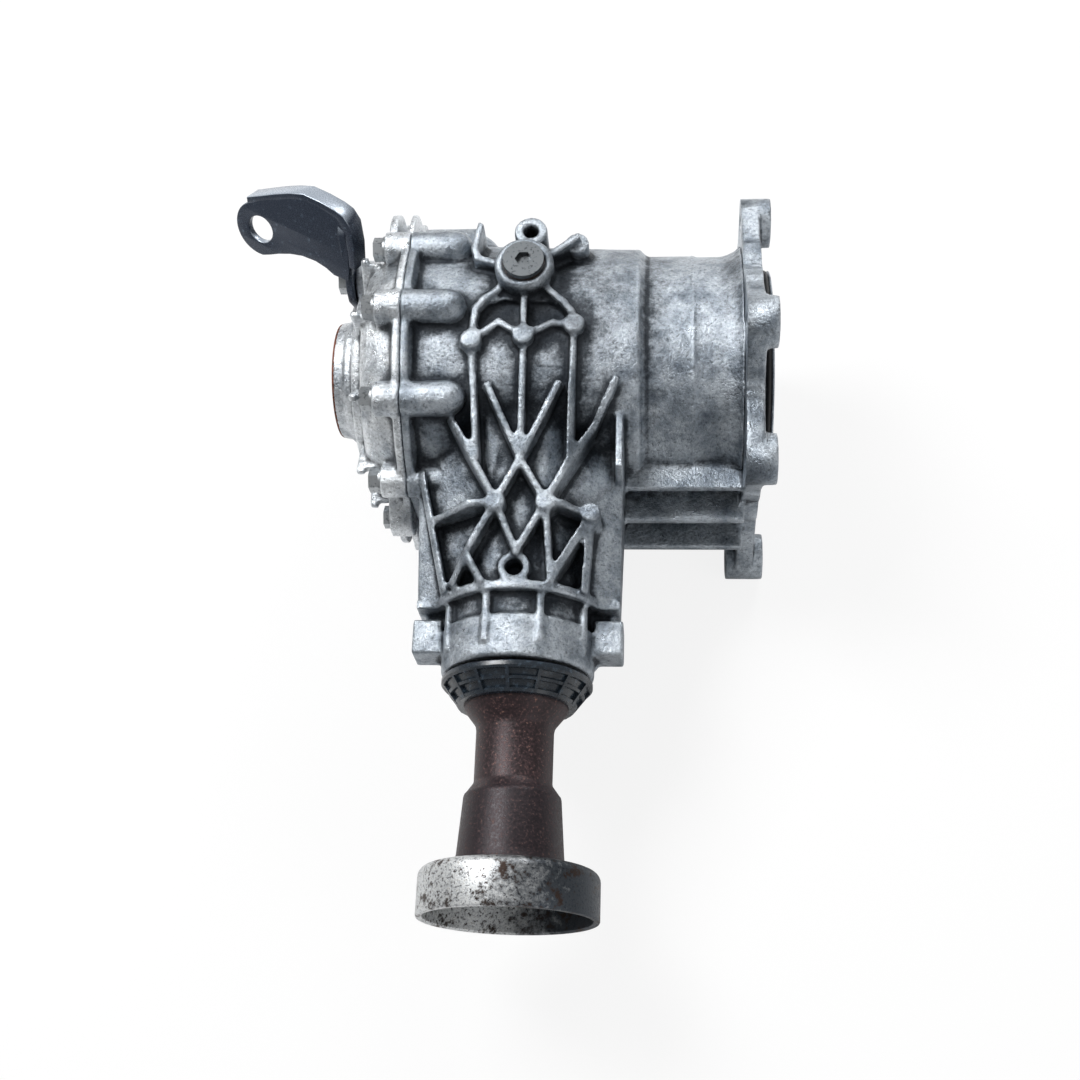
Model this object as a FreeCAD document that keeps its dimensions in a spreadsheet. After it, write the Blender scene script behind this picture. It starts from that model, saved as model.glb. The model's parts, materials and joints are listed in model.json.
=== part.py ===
import FreeCAD, Part
import math
import os
import Sketcher
from FreeCAD import Placement, Rotation, Vector

# Front differential of an all-wheel-drive car: an angle drive with a hollow input shaft, a spiral bevel
# crown wheel and pinion, and an output flange for the propeller shaft. Millimetres.
# Origin: centre of the register ring in the gearbox mating face. +X leaves that face, the output flange
# points along -Y, +Z is up. The crown wheel axis is the X axis; the pinion axis crosses it at right angles.

DIMENSIONS = [
    ("Main axes", [
        ("axis_distance", 150.0, "pinion axis behind the gearbox mating face"),
        ("joint_offset", 68.0, "cover joint left of the pinion axis"),
        ("fit_gap", 0.02, "radial gap of seated parts"),
        ("run_gap", 0.05, "running gap of rollers"),
    ]),
    ("Case", [
        ("case_radius", 84.0, "case at the cover joint"),
        ("case_radius_right", 80.5, "case before its step"),
        ("case_wall", 7.0, "casting wall"),
        ("step_offset", 98.0, "case step right of the pinion axis"),
        ("step_length", 6.0, "length of that step"),
        ("neck_radius", 75.7, "case behind the flange"),
        ("flange_thickness", 11.0, "gearbox flange"),
        ("boss_rise", 7.0, "bolt bosses stand proud of the flange face"),
        ("flange_radius", 90.0, "gearbox flange between its lugs"),
        ("lug_radius", 15.0, "gearbox bolt lugs"),
        ("lug_hole", 5.5, "radius of the gearbox bolt holes"),
        ("lug_mid_y", -17.0, "middle lugs"),
        ("lug_low_pitch", 67.0, "pitch of the three low lugs"),
        ("lug_low_z", -90.0, "low lugs"),
        ("lug_side_pitch", 162.0, "front to rear side lug"),
        ("lug_side_mid_y", -2.0, "middle between the side lugs"),
        ("lug_side_z", 54.0, "side lugs"),
        ("lug_top_z", 96.0, "top lug"),
        ("register_radius", 60.0, "register bore for the gearbox spigot"),
        ("register_length", 12.0, "length of the register bore"),
        ("register_wall", 7.0, "register ring wall"),
        ("ring_section", 1.5, "radius of the seal ring's section"),
        ("bulkhead_offset", 70.0, "bulkhead right of the pinion axis"),
        ("bulkhead_thickness", 9.0, "bulkhead"),
        ("hub_radius", 53.0, "hub round a crown shaft bearing"),
    ]),
    ("Pinion nose", [
        ("nose_half_width", 62.0, "half the width of the rib roof"),
        ("roof_high", 62.0, "skin height under the ribs at the case"),
        ("roof_low", 32.0, "skin height under the ribs at the ridge"),
        ("rib_level_high", 90.0, "rib tops over the crown axis"),
        ("rib_level_low", 47.5, "rib tops at the ridge"),
        ("rib_thickness", 4.2, "ribs of the truss"),
        ("ridge_offset", 156.0, "ridge in front of the crown axis"),
        ("ridge_radius", 50.0, "ridge ring"),
        ("ridge_thickness", 5.5, "ridge ring"),
        ("nose_length", 200.0, "nose face in front of the crown axis"),
        ("nose_radius", 45.0, "nose ring"),
        ("pocket_depth", 2.5, "pockets between the nose ribs"),
        ("nose_rib_count", 9.0, "ribs round the nose"),
        ("side_lug_width", 17.0, "side lugs of the nose"),
        ("side_lug_length", 21.0, "side lugs of the nose"),
        ("side_lug_height", 24.0, "side lugs of the nose"),
        ("pad_radius", 6.4, "round pads on the ribs"),
        ("pad_level", 88.5, "top of the pads on the case"),
        ("tapped_radius", 9.4, "boss of the tapped hole on the nose"),
        ("tapped_hole", 5.1, "radius of the tapped hole, M12"),
        ("tapped_depth", 14.0, "depth of the tapped hole"),
        ("tapped_level", 49.0, "top of that boss"),
        ("tapped_y", -148.0, "place of that boss"),
    ]),
    ("Bosses on the case", [
        ("plug_boss_radius", 17.6, "boss of the filler plug"),
        ("plug_boss_level", 95.0, "top of that boss"),
        ("plug_x", 3.0, "filler plug right of the pinion axis"),
        ("plug_y", 26.0, "filler plug behind the crown axis"),
        ("plug_thread", 9.0, "radius of the plug's thread, M18"),
        ("plug_head", 12.0, "radius of the plug's head"),
        ("plug_head_height", 4.0, "plug head"),
        ("plug_length", 14.0, "threaded length of the plug"),
        ("plug_key", 5.0, "circumradius of the plug's hexagon socket"),
        ("washer_thickness", 1.5, "sealing washer"),
        ("vent_radius", 10.0, "boss of the vent"),
        ("vent_hole", 4.5, "radius of the vent hole"),
        ("vent_level", 86.0, "top of the vent boss"),
        ("vent_depth", 22.0, "depth of the vent hole"),
        ("vent_x", 5.5, "vent right of the pinion axis"),
        ("vent_y", 54.0, "vent behind the crown axis"),
        ("post_radius", 7.2, "post beside the filler plug"),
        ("post_level", 80.0, "top of the post"),
        ("case_rib_level", 87.0, "tops of the ribs round the filler plug"),
        ("hollow_level", 77.5, "floor of the two hollows in front of the filler plug"),
        ("post_x", 33.0, "post right of the pinion axis"),
        ("post_y", 49.0, "post behind the crown axis"),
        ("drain_x", -20.0, "drain plug right of the pinion axis"),
        ("drain_y", -18.0, "drain plug behind the crown axis"),
        ("drain_level", -89.0, "face of the drain boss"),
    ]),
    ("Cover", [
        ("cover_skirt", 84.0, "outer radius of the cover behind its rim"),
        ("rim_radius", 93.0, "joint rim"),
        ("rim_thickness", 4.5, "joint rim, on each side of the joint"),
        ("bolt_circle", 88.0, "radius of the cover bolt circle"),
        ("bolt_count", 10.0, "cover bolts"),
        ("bolt_first_angle", 18.0, "first cover bolt, from +Y to +Z"),
        ("bolt_boss_radius", 10.5, "cover bolt bosses"),
        ("bolt_radius", 4.0, "cover bolts, M8"),
        ("bolt_clearance", 0.4, "radial clearance of a bolt"),
        ("bolt_flange", 8.0, "flange of a cover bolt"),
        ("bolt_key", 7.3, "circumradius of a bolt head, 13 across corners less chamfer"),
        ("bolt_head_height", 6.0, "hexagon above the bolt's flange"),
        ("bolt_flange_height", 1.6, "flange of a bolt head"),
        ("cover_lug_height", 16.0, "cover bolt lugs, from the joint"),
        ("case_lug_height", 27.0, "case bolt bosses, from the joint"),
        ("bolt_reach", 20.0, "bolt length in the case"),
        ("ear_radius", 12.0, "ears of the joint rim"),
        ("foot_level", -105.0, "lowest line of the casting"),
        ("front_foot_y", -66.0, "front foot ear of the cover"),
        ("rear_foot_y", 46.0, "rear foot ear of the cover"),
        ("collar_length", 52.0, "collar end from the joint"),
        ("collar_radius", 40.0, "collar at its root"),
        ("collar_tip_radius", 36.6, "collar at its tip"),
        ("bracket_boss_radius", 14.0, "boss that carries the bracket"),
        ("bracket_boss_reach", 43.0, "face of that boss from the joint"),
        ("bracket_boss_y", 60.0, "upper bracket boss"),
        ("bracket_boss_z", 22.0, "upper bracket boss"),
        ("bracket_low_y", 62.0, "lower bracket boss"),
        ("bracket_low_z", -24.0, "lower bracket boss"),
    ]),
    ("Crown wheel and shaft", [
        ("wheel_teeth", 31.0, "teeth of the crown wheel"),
        ("pinion_teeth", 12.0, "teeth of the pinion"),
        ("module_size", 4.0, "outer module"),
        ("face_width", 19.0, "tooth length"),
        ("pressure_angle", 20.0, "flank angle"),
        ("spiral_angle", 24.0, "slant of the teeth"),
        ("long_addendum", 0.3, "pinion tooth heightening, in modules"),
        ("tooth_backlash", 0.32, "play at the outer pitch circle"),
        ("shaft_bore", 19.0, "radius of the half-shaft bore"),
        ("shaft_radius", 27.0, "bearing seats of the input shaft"),
        ("shaft_left", -110.0, "left end from the pinion axis"),
        ("shaft_right", 134.0, "right end from the pinion axis"),
        ("spline_radius", 24.0, "tips of the input splines"),
        ("spline_count", 28.0, "input splines"),
        ("spline_length", 40.0, "input splines"),
        ("wheel_pilot", 31.0, "bore of the crown wheel"),
        ("wheel_back", 42.0, "back of the crown wheel from the pinion axis"),
        ("wheel_flange_radius", 52.0, "shaft flange behind the crown wheel"),
        ("wheel_flange_thickness", 8.0, "that flange"),
        ("wheel_bolt_circle", 41.0, "radius of the crown wheel bolts"),
        ("wheel_bolt_count", 8.0, "crown wheel bolts"),
    ]),
    ("Bearings", [
        ("crown_cup_radius", 45.0, "outer rings of the crown shaft"),
        ("crown_bearing_width", 20.0, "crown shaft bearings"),
        ("crown_left_near", 72.0, "left bearing, near face from the pinion axis"),
        ("crown_right_near", 58.0, "right bearing, near face from the pinion axis"),
        ("crown_roller", 4.1, "rollers of the crown shaft, middle radius"),
        ("crown_rollers", 20.0, "rollers in one crown bearing"),
        ("head_cup_radius", 40.0, "pinion head bearing"),
        ("head_bore", 17.5, "pinion head bearing"),
        ("head_width", 22.0, "pinion head bearing"),
        ("head_near", 70.0, "pinion head bearing from the crown axis"),
        ("head_roller", 5.3, "rollers of the head bearing, middle radius"),
        ("head_rollers", 13.0, "rollers of the head bearing"),
        ("tail_cup_radius", 34.0, "pinion tail bearing"),
        ("tail_bore", 15.0, "pinion tail bearing"),
        ("tail_width", 18.0, "pinion tail bearing"),
        ("tail_near", 150.0, "pinion tail bearing from the crown axis"),
        ("tail_roller", 4.4, "rollers of the tail bearing, middle radius"),
        ("tail_rollers", 13.0, "rollers of the tail bearing"),
        ("roller_tilt", 13.0, "tilt of the rollers"),
        ("roller_taper", 1.8, "half the cone angle of a roller"),
        ("roller_share", 0.66, "roller length over bearing width"),
        ("shim_thickness", 1.0, "setting shims"),
    ]),
    ("Pinion shaft and output flange", [
        ("spacer_radius", 20.5, "spacer between the pinion bearings"),
        ("stem_radius", 16.5, "pinion stem under the spacer"),
        ("stem_spline", 13.0, "radius of the stem in the flange hub"),
        ("stem_thread", 10.0, "radius of the nut's thread"),
        ("stem_end", 224.0, "end of the pinion stem from the crown axis"),
        ("hub_outer", 20.0, "flange hub in the seal"),
        ("shield_seat", 30.5, "flange under the dust shield"),
        ("tube_radius", 22.5, "output tube"),
        ("tube_bore", 18.0, "bore of the output tube"),
        ("tube_start", 229.0, "output tube from the crown axis"),
        ("tube_end", 263.0, "end of its straight part"),
        ("cone_radius", 28.0, "start of the foot cone"),
        ("cone_start", 270.5, "start of the foot cone from the crown axis"),
        ("foot_radius", 30.6, "end of the foot cone"),
        ("cup_back", 311.5, "back of the cup from the crown axis"),
        ("cup_radius", 51.0, "cup outside"),
        ("cup_bore", 47.35, "cup bore"),
        ("cup_end", 338.9, "rim of the cup from the crown axis"),
        ("cup_floor", 6.0, "floor of the cup"),
        ("cup_bolt_circle", 40.0, "radius of the propeller shaft bolts"),
        ("cup_bolt_hole", 3.4, "radius of the tapped holes, M8"),
        ("cup_bolt_count", 6.0, "propeller shaft bolts"),
        ("nut_key", 17.0, "circumradius of the pinion nut"),
        ("nut_height", 12.0, "pinion nut"),
        ("nut_seat", 208.0, "seat of the nut from the crown axis"),
        ("shield_radius", 44.5, "dust shield at its mouth"),
        ("shield_wall", 1.8, "dust shield"),
        ("shield_mouth", 202.0, "mouth of the shield from the crown axis"),
        ("shield_end", 217.5, "end of the shield from the crown axis"),
        ("shield_ribs", 24.0, "ribs round the shield"),
    ]),
    ("Seals", [
        ("collar_seal_radius", 33.5, "collar seal outside"),
        ("collar_seal_width", 9.0, "collar seal"),
        ("input_seal_radius", 38.0, "input seal outside"),
        ("input_seal_width", 9.0, "input seal"),
        ("pinion_seal_radius", 34.0, "pinion seal outside"),
        ("pinion_seal_width", 11.0, "pinion seal"),
        ("seal_lip_gap", 0.3, "play of a seal lip"),
    ]),
    ("Bracket", [
        ("bracket_sheet", 4.5, "steel sheet"),
        ("bracket_eye_radius", 18.5, "lobe round the bolt eye"),
        ("bracket_eye_hole", 7.0, "radius of the bolt eye"),
        ("bracket_eye_y", 85.0, "bolt eye"),
        ("bracket_eye_z", 50.0, "bolt eye"),
        ("bracket_eye_offset", 169.0, "bolt eye left of the pinion axis"),
        ("bracket_arm", 58.0, "arm from the eye to the leg"),
        ("bracket_turn", 26.6, "arm turned from the long axis"),
        ("bracket_lean", 63.0, "arm leaned back from level"),
        ("bracket_fold", 13.0, "width of the folded edge"),
        ("bracket_embossing", 1.2, "raised ring round the eye"),
    ]),
]


class Size:
    """A size of the sheet: its value now, and the expression that keeps an object tied to it."""

    def __init__(self, value, text):
        self.value = float(value)
        self.text = text

    def __add__(self, other):
        return Size(self.value + number(other), f"({self.text} + {words(other)})")

    def __radd__(self, other):
        return Size(number(other) + self.value, f"({words(other)} + {self.text})")

    def __sub__(self, other):
        return Size(self.value - number(other), f"({self.text} - {words(other)})")

    def __rsub__(self, other):
        return Size(number(other) - self.value, f"({words(other)} - {self.text})")

    def __mul__(self, other):
        return Size(self.value * number(other), f"({self.text} * {words(other)})")

    def __rmul__(self, other):
        return Size(number(other) * self.value, f"({words(other)} * {self.text})")

    def __truediv__(self, other):
        return Size(self.value / number(other), f"({self.text} / {words(other)})")

    def __rtruediv__(self, other):
        return Size(number(other) / self.value, f"({words(other)} / {self.text})")

    def __neg__(self):
        return Size(-self.value, f"(0 - {self.text})")


def number(size):
    return size.value if isinstance(size, Size) else float(size)


def words(size):
    return size.text if isinstance(size, Size) else repr(float(size))


def cosine(angle):
    return Size(math.cos(math.radians(number(angle))), f"cos({words(angle)})")


def sine(angle):
    return Size(math.sin(math.radians(number(angle))), f"sin({words(angle)})")


def tangent(angle):
    return Size(math.tan(math.radians(number(angle))), f"tan({words(angle)})")


def distance(across, up):
    return Size(math.hypot(number(across), number(up)), f"hypot({words(across)}; {words(up)})")


def direction(across, up):
    return Size(math.degrees(math.atan2(number(up), number(across))), f"(atan2({words(up)}; {words(across)}) / 1 deg)")


class Sheet:
    """The driving dimensions: one row and one alias for each, read back as sizes."""

    def __init__(self, document, name):
        sheet = document.addObject("Spreadsheet::Sheet", name)
        row = 1
        aliases = []
        for title, entries in DIMENSIONS:
            sheet.set(f"A{row}", title)
            row += 1
            for alias, value, meaning in entries:
                sheet.set(f"A{row}", meaning)
                sheet.set(f"B{row}", repr(value))
                sheet.setAlias(f"B{row}", alias)
                aliases.append(alias)
                row += 1
        document.recompute()
        for alias in aliases:
            setattr(self, alias, Size(sheet.get(alias), f"{name}.{alias}"))


doc = FreeCAD.newDocument("front_differential")
d = Sheet(doc, "dims")

UP = Rotation()
ALONG_X = Rotation(Vector(0, 1, 0), 90)
ALONG_MINUS_X = Rotation(Vector(0, 1, 0), -90)
ALONG_MINUS_Y = Rotation(Vector(1, 0, 0), 90)
DOWN = Rotation(Vector(1, 0, 0), 180)


def across(offset):
    """The X of a place that is given from the pinion axis."""
    return offset - d.axis_distance


def place(item, at, turn=UP):
    item.Placement = Placement(Vector(), turn)
    for axis, size in zip("xyz", at):
        item.setExpression(f"Placement.Base.{axis}", words(size))
    return item


def cylinder(name, radius, length, at, turn=UP):
    item = doc.addObject("Part::Cylinder", name)
    item.setExpression("Radius", words(radius))
    item.setExpression("Height", words(length))
    return place(item, at, turn)


def cone(name, radius_near, radius_far, length, at, turn=UP):
    item = doc.addObject("Part::Cone", name)
    item.setExpression("Radius1", words(radius_near))
    item.setExpression("Radius2", words(radius_far))
    item.setExpression("Height", words(length))
    return place(item, at, turn)


def box(name, length, width, height, at, turn=UP):
    item = doc.addObject("Part::Box", name)
    item.setExpression("Length", words(length))
    item.setExpression("Width", words(width))
    item.setExpression("Height", words(height))
    return place(item, at, turn)


def ball(name, radius, at):
    item = doc.addObject("Part::Sphere", name)
    item.setExpression("Radius", words(radius))
    return place(item, at)


def hexagon(name, circumradius, length, at, turn=UP):
    item = doc.addObject("Part::Prism", name)
    item.Polygon = 6
    item.setExpression("Circumradius", words(circumradius))
    item.setExpression("Height", words(length))
    return place(item, at, turn)


def fuse(name, pieces):
    item = doc.addObject("Part::MultiFuse", name)
    item.Shapes = pieces
    item.Refine = True
    return item


def cut(name, base, tools):
    item = doc.addObject("Part::Cut", name)
    item.Base = base
    item.Tool = tools[0] if len(tools) == 1 else fuse(name + "_tools", tools)
    item.Refine = True
    return item


def common(name, base, tool):
    item = doc.addObject("Part::Common", name)
    item.Base = base
    item.Tool = tool
    return item


def group(name, pieces):
    item = doc.addObject("Part::Compound", name)
    item.Links = pieces
    return item


def draw_outline(sketch, points):
    """A closed outline of straight lines; each corner is held at its sizes from the sketch's origin."""
    count = len(points)
    for index, point in enumerate(points):
        after = points[(index + 1) % count]
        start = Vector(number(point[0]), number(point[1]), 0)
        end = Vector(number(after[0]), number(after[1]), 0)
        sketch.addGeometry(Part.LineSegment(start, end))
    for index in range(count):
        sketch.addConstraint(Sketcher.Constraint("Coincident", index, 2, (index + 1) % count, 1))
    for index, point in enumerate(points):
        for kind, size in zip(("DistanceX", "DistanceY"), point):
            line = sketch.addConstraint(Sketcher.Constraint(kind, -1, 1, index, 1, number(size)))
            if isinstance(size, Size):
                sketch.setExpression(f"Constraints[{line}]", size.text)


def body_sketch(body, name, role):
    sketch = body.newObject("Sketcher::SketchObject", name)
    plane = [item for item in body.Origin.OriginFeatures if item.Role == role][0]
    sketch.AttachmentSupport = (plane, [""])
    sketch.MapMode = "FlatFace"
    return sketch


def lathe(name, points, at, turn=UP):
    """A turned piece: (radius, height) corners swung round the piece's own Z axis."""
    body = doc.addObject("PartDesign::Body", name)
    sketch = body_sketch(body, name + "_profile", "XZ_Plane")
    draw_outline(sketch, points)
    swing = body.newObject("PartDesign::Revolution", name + "_swing")
    swing.Profile = sketch
    swing.ReferenceAxis = (sketch, ["V_Axis"])
    swing.Angle = 360
    return place(body, at, turn)


def slab(name, points, thickness, at, turn=UP):
    """A plate: an outline in the piece's own XY plane, padded along its Z axis."""
    body = doc.addObject("PartDesign::Body", name)
    sketch = body_sketch(body, name + "_outline", "XY_Plane")
    draw_outline(sketch, points)
    pad = body.newObject("PartDesign::Pad", name + "_pad")
    pad.Profile = sketch
    pad.setExpression("Length", words(thickness))
    return place(body, at, turn)


def loft(name, near, far):
    """A straight loft between two outlines in planes across the Y axis, each given as (y, (x, z) corners)."""
    sections = []
    for end, (depth, points) in (("near", near), ("far", far)):
        sketch = doc.addObject("Sketcher::SketchObject", f"{name}_{end}")
        draw_outline(sketch, points)
        sections.append(place(sketch, (-d.axis_distance, depth, 0), ALONG_MINUS_Y))
    item = doc.addObject("Part::Loft", name)
    item.Sections = sections
    item.Solid = True
    item.Ruled = True
    return item


def wall(name, start, end, thickness, low, high):
    """An upright rib from one (x, y) place to another, rounded off by its own thickness at both ends."""
    run = (end[0] - start[0], end[1] - start[1])
    length = distance(*run)
    heading = direction(*run)
    item = box(name, length + thickness, thickness, high - low, (0, 0, 0), Rotation(Vector(0, 0, 1), 10))
    item.setExpression("Placement.Rotation.Angle", heading.text)
    back = thickness / 2
    item.setExpression("Placement.Base.x", (start[0] - back * cosine(heading) + back * sine(heading)).text)
    item.setExpression("Placement.Base.y", (start[1] - back * sine(heading) - back * cosine(heading)).text)
    item.setExpression("Placement.Base.z", words(low))
    return item


def lug_web(name, core, tip, y, z, thickness, at_x):
    """A plate across the X axis that narrows from a round core to a lug, its sides tangent to both."""
    reach = distance(y, z)
    heading = direction(y, z)
    lean = Size(math.degrees(math.asin((number(core) - number(tip)) / number(reach))),
                f"(asin(({words(core)} - {words(tip)}) / {words(reach)}) / 1 deg)")
    corners = []
    for side, radius, out in ((-1, core, 0), (-1, tip, reach), (1, tip, reach), (1, core, 0)):
        turn = heading + side * (90.0 - lean)
        corners.append((out * cosine(heading) + radius * cosine(turn), out * sine(heading) + radius * sine(turn)))
    turn = Rotation(Vector(1, 1, 1), 120)
    return slab(name, corners, thickness, (at_x, 0, 0), turn)


def bolt_angle(index):
    return d.bolt_first_angle + index * (360.0 / d.bolt_count)


def on_circle(radius, angle):
    """(y, z) of a place on a circle about the X axis, from +Y towards +Z."""
    return radius * cosine(angle), radius * sine(angle)


# Places on top of the housing, right of the pinion axis and behind the crown axis: the nodes of the rib truss
NODES = {
    "pad_left": (-27.0, -21.0),
    "pad_middle": (3.5, -18.0),
    "pad_right": (33.0, -11.0),
    "arc_left": (-20.3, 7.2),
    "arc_left_low": (-25.3, 0.4),
    "arc_right": (26.3, 4.6),
    "arc_right_low": (31.3, -2.3),
    "peak_left": (-11.2, -8.5),
    "peak_right": (20.0, -9.8),
    "plug": (d.plug_x, d.plug_y),
    "post": (d.post_x, d.post_y),
    "left_post": (-25.7, 35.2),
    "left_post_bend": (-27.7, 41.5),
    "left_post_end": (-25.0, 58.0),
    "start_outer_left": (-39.0, -62.0),
    "start_left": (-17.0, -46.0),
    "start_right": (24.0, -45.0),
    "start_outer_right": (57.0, -42.0),
    "foot_pad_left": (-23.0, -86.0),
    "foot_pad_right": (31.0, -84.0),
    "apex": (2.5, -87.5),
    "web_left": (-11.2, -111.7),
    "web_right": (17.6, -111.7),
    "left_arm": (-46.0, -115.0),
    "left_foot": (-36.0, -154.0),
    "centre_low": (1.0, -140.0),
    "right_node": (43.0, -114.7),
    "right_foot": (21.0, -156.0),
    "left_branch": (-27.5, -141.5),
    "left_branch_foot": (-18.9, -156.0),
    "outer_left_top": (-58.0, -86.0),
    "outer_left_foot": (-42.0, -157.0),
    "outer_right_top": (60.0, -112.0),
    "outer_right_foot": (40.0, -157.0),
}
TRUSS = [
    ("pad_left", "foot_pad_left"), ("pad_middle", "apex"), ("pad_right", "foot_pad_right"),
    ("start_outer_left", "web_left"), ("start_left", "apex"), ("apex", "web_right"),
    ("start_right", "apex"), ("apex", "web_left"), ("start_outer_right", "web_right"),
    ("web_left", "left_arm"), ("web_left", "left_foot"), ("web_left", "centre_low"),
    ("web_right", "centre_low"), ("web_right", "right_node"), ("web_right", "right_foot"),
    ("right_node", "right_foot"), ("left_branch", "left_branch_foot"),
    ("outer_left_top", "outer_left_foot"), ("right_node", "outer_right_foot"),
]
CASE_RIBS = [
    ("plug", "arc_left"), ("arc_left", "arc_left_low"), ("arc_left_low", "pad_left"),
    ("plug", "arc_right"), ("arc_right", "arc_right_low"), ("arc_right_low", "pad_right"),
    ("pad_left", "peak_left"), ("peak_left", "pad_middle"),
    ("pad_middle", "peak_right"), ("peak_right", "pad_right"),
    ("plug", "pad_middle"), ("plug", "post"),
    ("plug", "left_post"), ("left_post", "left_post_bend"), ("left_post_bend", "left_post_end"),
]
# Outlines of the two hollows between those ribs
HOLLOWS = {
    "left": [(0.9, 7.0), (-9.0, 8.5), (-18.0, 5.0), (-22.5, -0.5), (-24.0, -9.5), (-20.5, -13.0),
             (-11.3, -5.5), (-4.0, -11.3), (0.9, -11.3)],
    "right": [(5.1, 7.0), (5.1, -11.0), (12.5, -11.3), (20.2, -7.2), (27.5, -7.0), (28.8, -3.5),
              (24.8, 2.8), (18.0, 7.0)],
}


def node(name):
    right, behind = NODES[name]
    return across(right), behind + 0 * d.axis_distance


def roof_outline(level, slope_level, half_top, half_side):
    """Eight corners of the nose's section: flat top and bottom, sloped shoulders, upright sides."""
    quarter = [(half_side, slope_level), (half_top, level)]
    upper = quarter + [(-half_top, level), (-half_side, slope_level)]
    return upper + [(right, -up) for right, up in reversed(upper)]


def case_lugs():
    """(y, z) of the gearbox bolt lugs: three low, two at the sides, one on top."""
    half = d.lug_side_pitch / 2
    low = [(d.lug_mid_y + step * d.lug_low_pitch, d.lug_low_z) for step in (-1, 0, 1)]
    side = [(d.lug_side_mid_y - half, d.lug_side_z), (d.lug_side_mid_y + half, d.lug_side_z)]
    return low + side + [(d.lug_mid_y, d.lug_top_z)]


def gearbox_flange():
    back = d.flange_thickness + d.boss_rise
    pieces = [cylinder("flange_core", d.flange_radius, d.flange_thickness, (-back, 0, 0), ALONG_X)]
    holes = []
    for index, (y, z) in enumerate(case_lugs()):
        pieces.append(lug_web(f"lug_web_{index}", d.flange_radius * 0.86, d.lug_radius, y, z,
                              d.flange_thickness, -back))
        pieces.append(cylinder(f"lug_boss_{index}", d.lug_radius, back + 6.0, (-back - 6.0, y, z), ALONG_X))
        holes.append(cylinder(f"lug_hole_{index}", d.lug_hole, back + 12.0, (-back - 9.0, y, z), ALONG_X))
    ring = d.register_radius + d.register_wall
    pieces.append(cylinder("register_ring", ring, back, (-back, 0, 0), ALONG_X))
    return pieces, holes


def cover_bolt_bosses():
    pieces = []
    holes = []
    for index in range(int(d.bolt_count.value)):
        y, z = on_circle(d.bolt_circle, bolt_angle(index))
        pieces.append(cylinder(f"case_lug_{index}", d.bolt_boss_radius, d.case_lug_height,
                               (across(-d.joint_offset), y, z), ALONG_X))
        pieces.append(ball(f"case_lug_end_{index}", d.bolt_boss_radius,
                           (across(-d.joint_offset + d.case_lug_height), y, z)))
        holes.append(cylinder(f"case_thread_{index}", d.bolt_radius + d.fit_gap, d.bolt_reach + 2.0,
                              (across(-d.joint_offset), y, z), ALONG_X))
    return pieces, holes


def nose_pieces():
    """The pinion nose: roof shell, ridge, barrel with ribs, side lugs."""
    near = 55.0
    far = d.ridge_offset + d.ridge_thickness
    skin = loft("nose_skin",
                (-near, roof_outline(d.roof_high, 36.0, 18.0, d.nose_half_width)),
                (-far, roof_outline(d.roof_low, 11.0, 14.0, d.nose_half_width - 2.0)))
    ridge = cylinder("ridge", d.ridge_radius, d.ridge_thickness,
                     (-d.axis_distance, -d.ridge_offset, 0), ALONG_MINUS_Y)
    ring = d.nose_radius
    step = d.ridge_offset + 18.0
    barrel = lathe("nose_barrel", [
        (0.0, 0.0), (56.5, 0.0), (56.5, 72.0), (47.0, 118.0), (ring - d.pocket_depth, d.ridge_offset),
        (ring - d.pocket_depth, step), (ring + 0.8, step + 1.0), (ring + 0.8, step + 3.0),
        (ring, d.nose_length - 12.0), (ring, d.nose_length - 1.5), (ring - 1.5, d.nose_length),
        (0.0, d.nose_length)], (-d.axis_distance, 0, 0), ALONG_MINUS_Y)
    pieces = [skin, ridge, barrel]
    count = int(d.nose_rib_count.value)
    for index in range(count):
        turn = Rotation(Vector(0, 1, 0), 20.0 + index * 360.0 / count)
        rib = box(f"nose_rib_{index}", 4.5, d.nose_length - d.ridge_offset - 9.0, ring + 2.2,
                  (-d.axis_distance, 0, 0), UP)
        rib.setExpression("Placement.Base.y", (9.0 - d.nose_length).text)
        rib.Placement = Placement(rib.Placement.Base, turn)
        shift = turn.multVec(Vector(-2.25, 0, 0))
        rib.setExpression("Placement.Base.x", (-d.axis_distance + shift.x).text)
        rib.setExpression("Placement.Base.z", repr(shift.z))
        pieces.append(rib)
    for side in (-1.0, 1.0):
        inner = d.nose_half_width - d.side_lug_width
        left = across(inner) if side > 0 else across(-d.nose_half_width)
        pieces.append(box(f"side_lug_{side:+.0f}", d.side_lug_width, d.side_lug_length, d.side_lug_height,
                          (left, -d.nose_length + 12.0, -d.side_lug_height / 2)))
        web_left = across(0.0) if side > 0 else across(-d.nose_half_width + 6.0)
        pieces.append(box(f"side_web_{side:+.0f}", d.nose_half_width - 6.0, 30.0, 8.0,
                          (web_left, -d.nose_length + 14.0, -4.0)))
    wings = box("ridge_wings", 2 * d.nose_half_width - 4.0, d.ridge_thickness, 30.0,
                (across(2.0 - d.nose_half_width), -d.ridge_offset - d.ridge_thickness, -15.0))
    pieces.append(wings)
    return pieces


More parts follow.
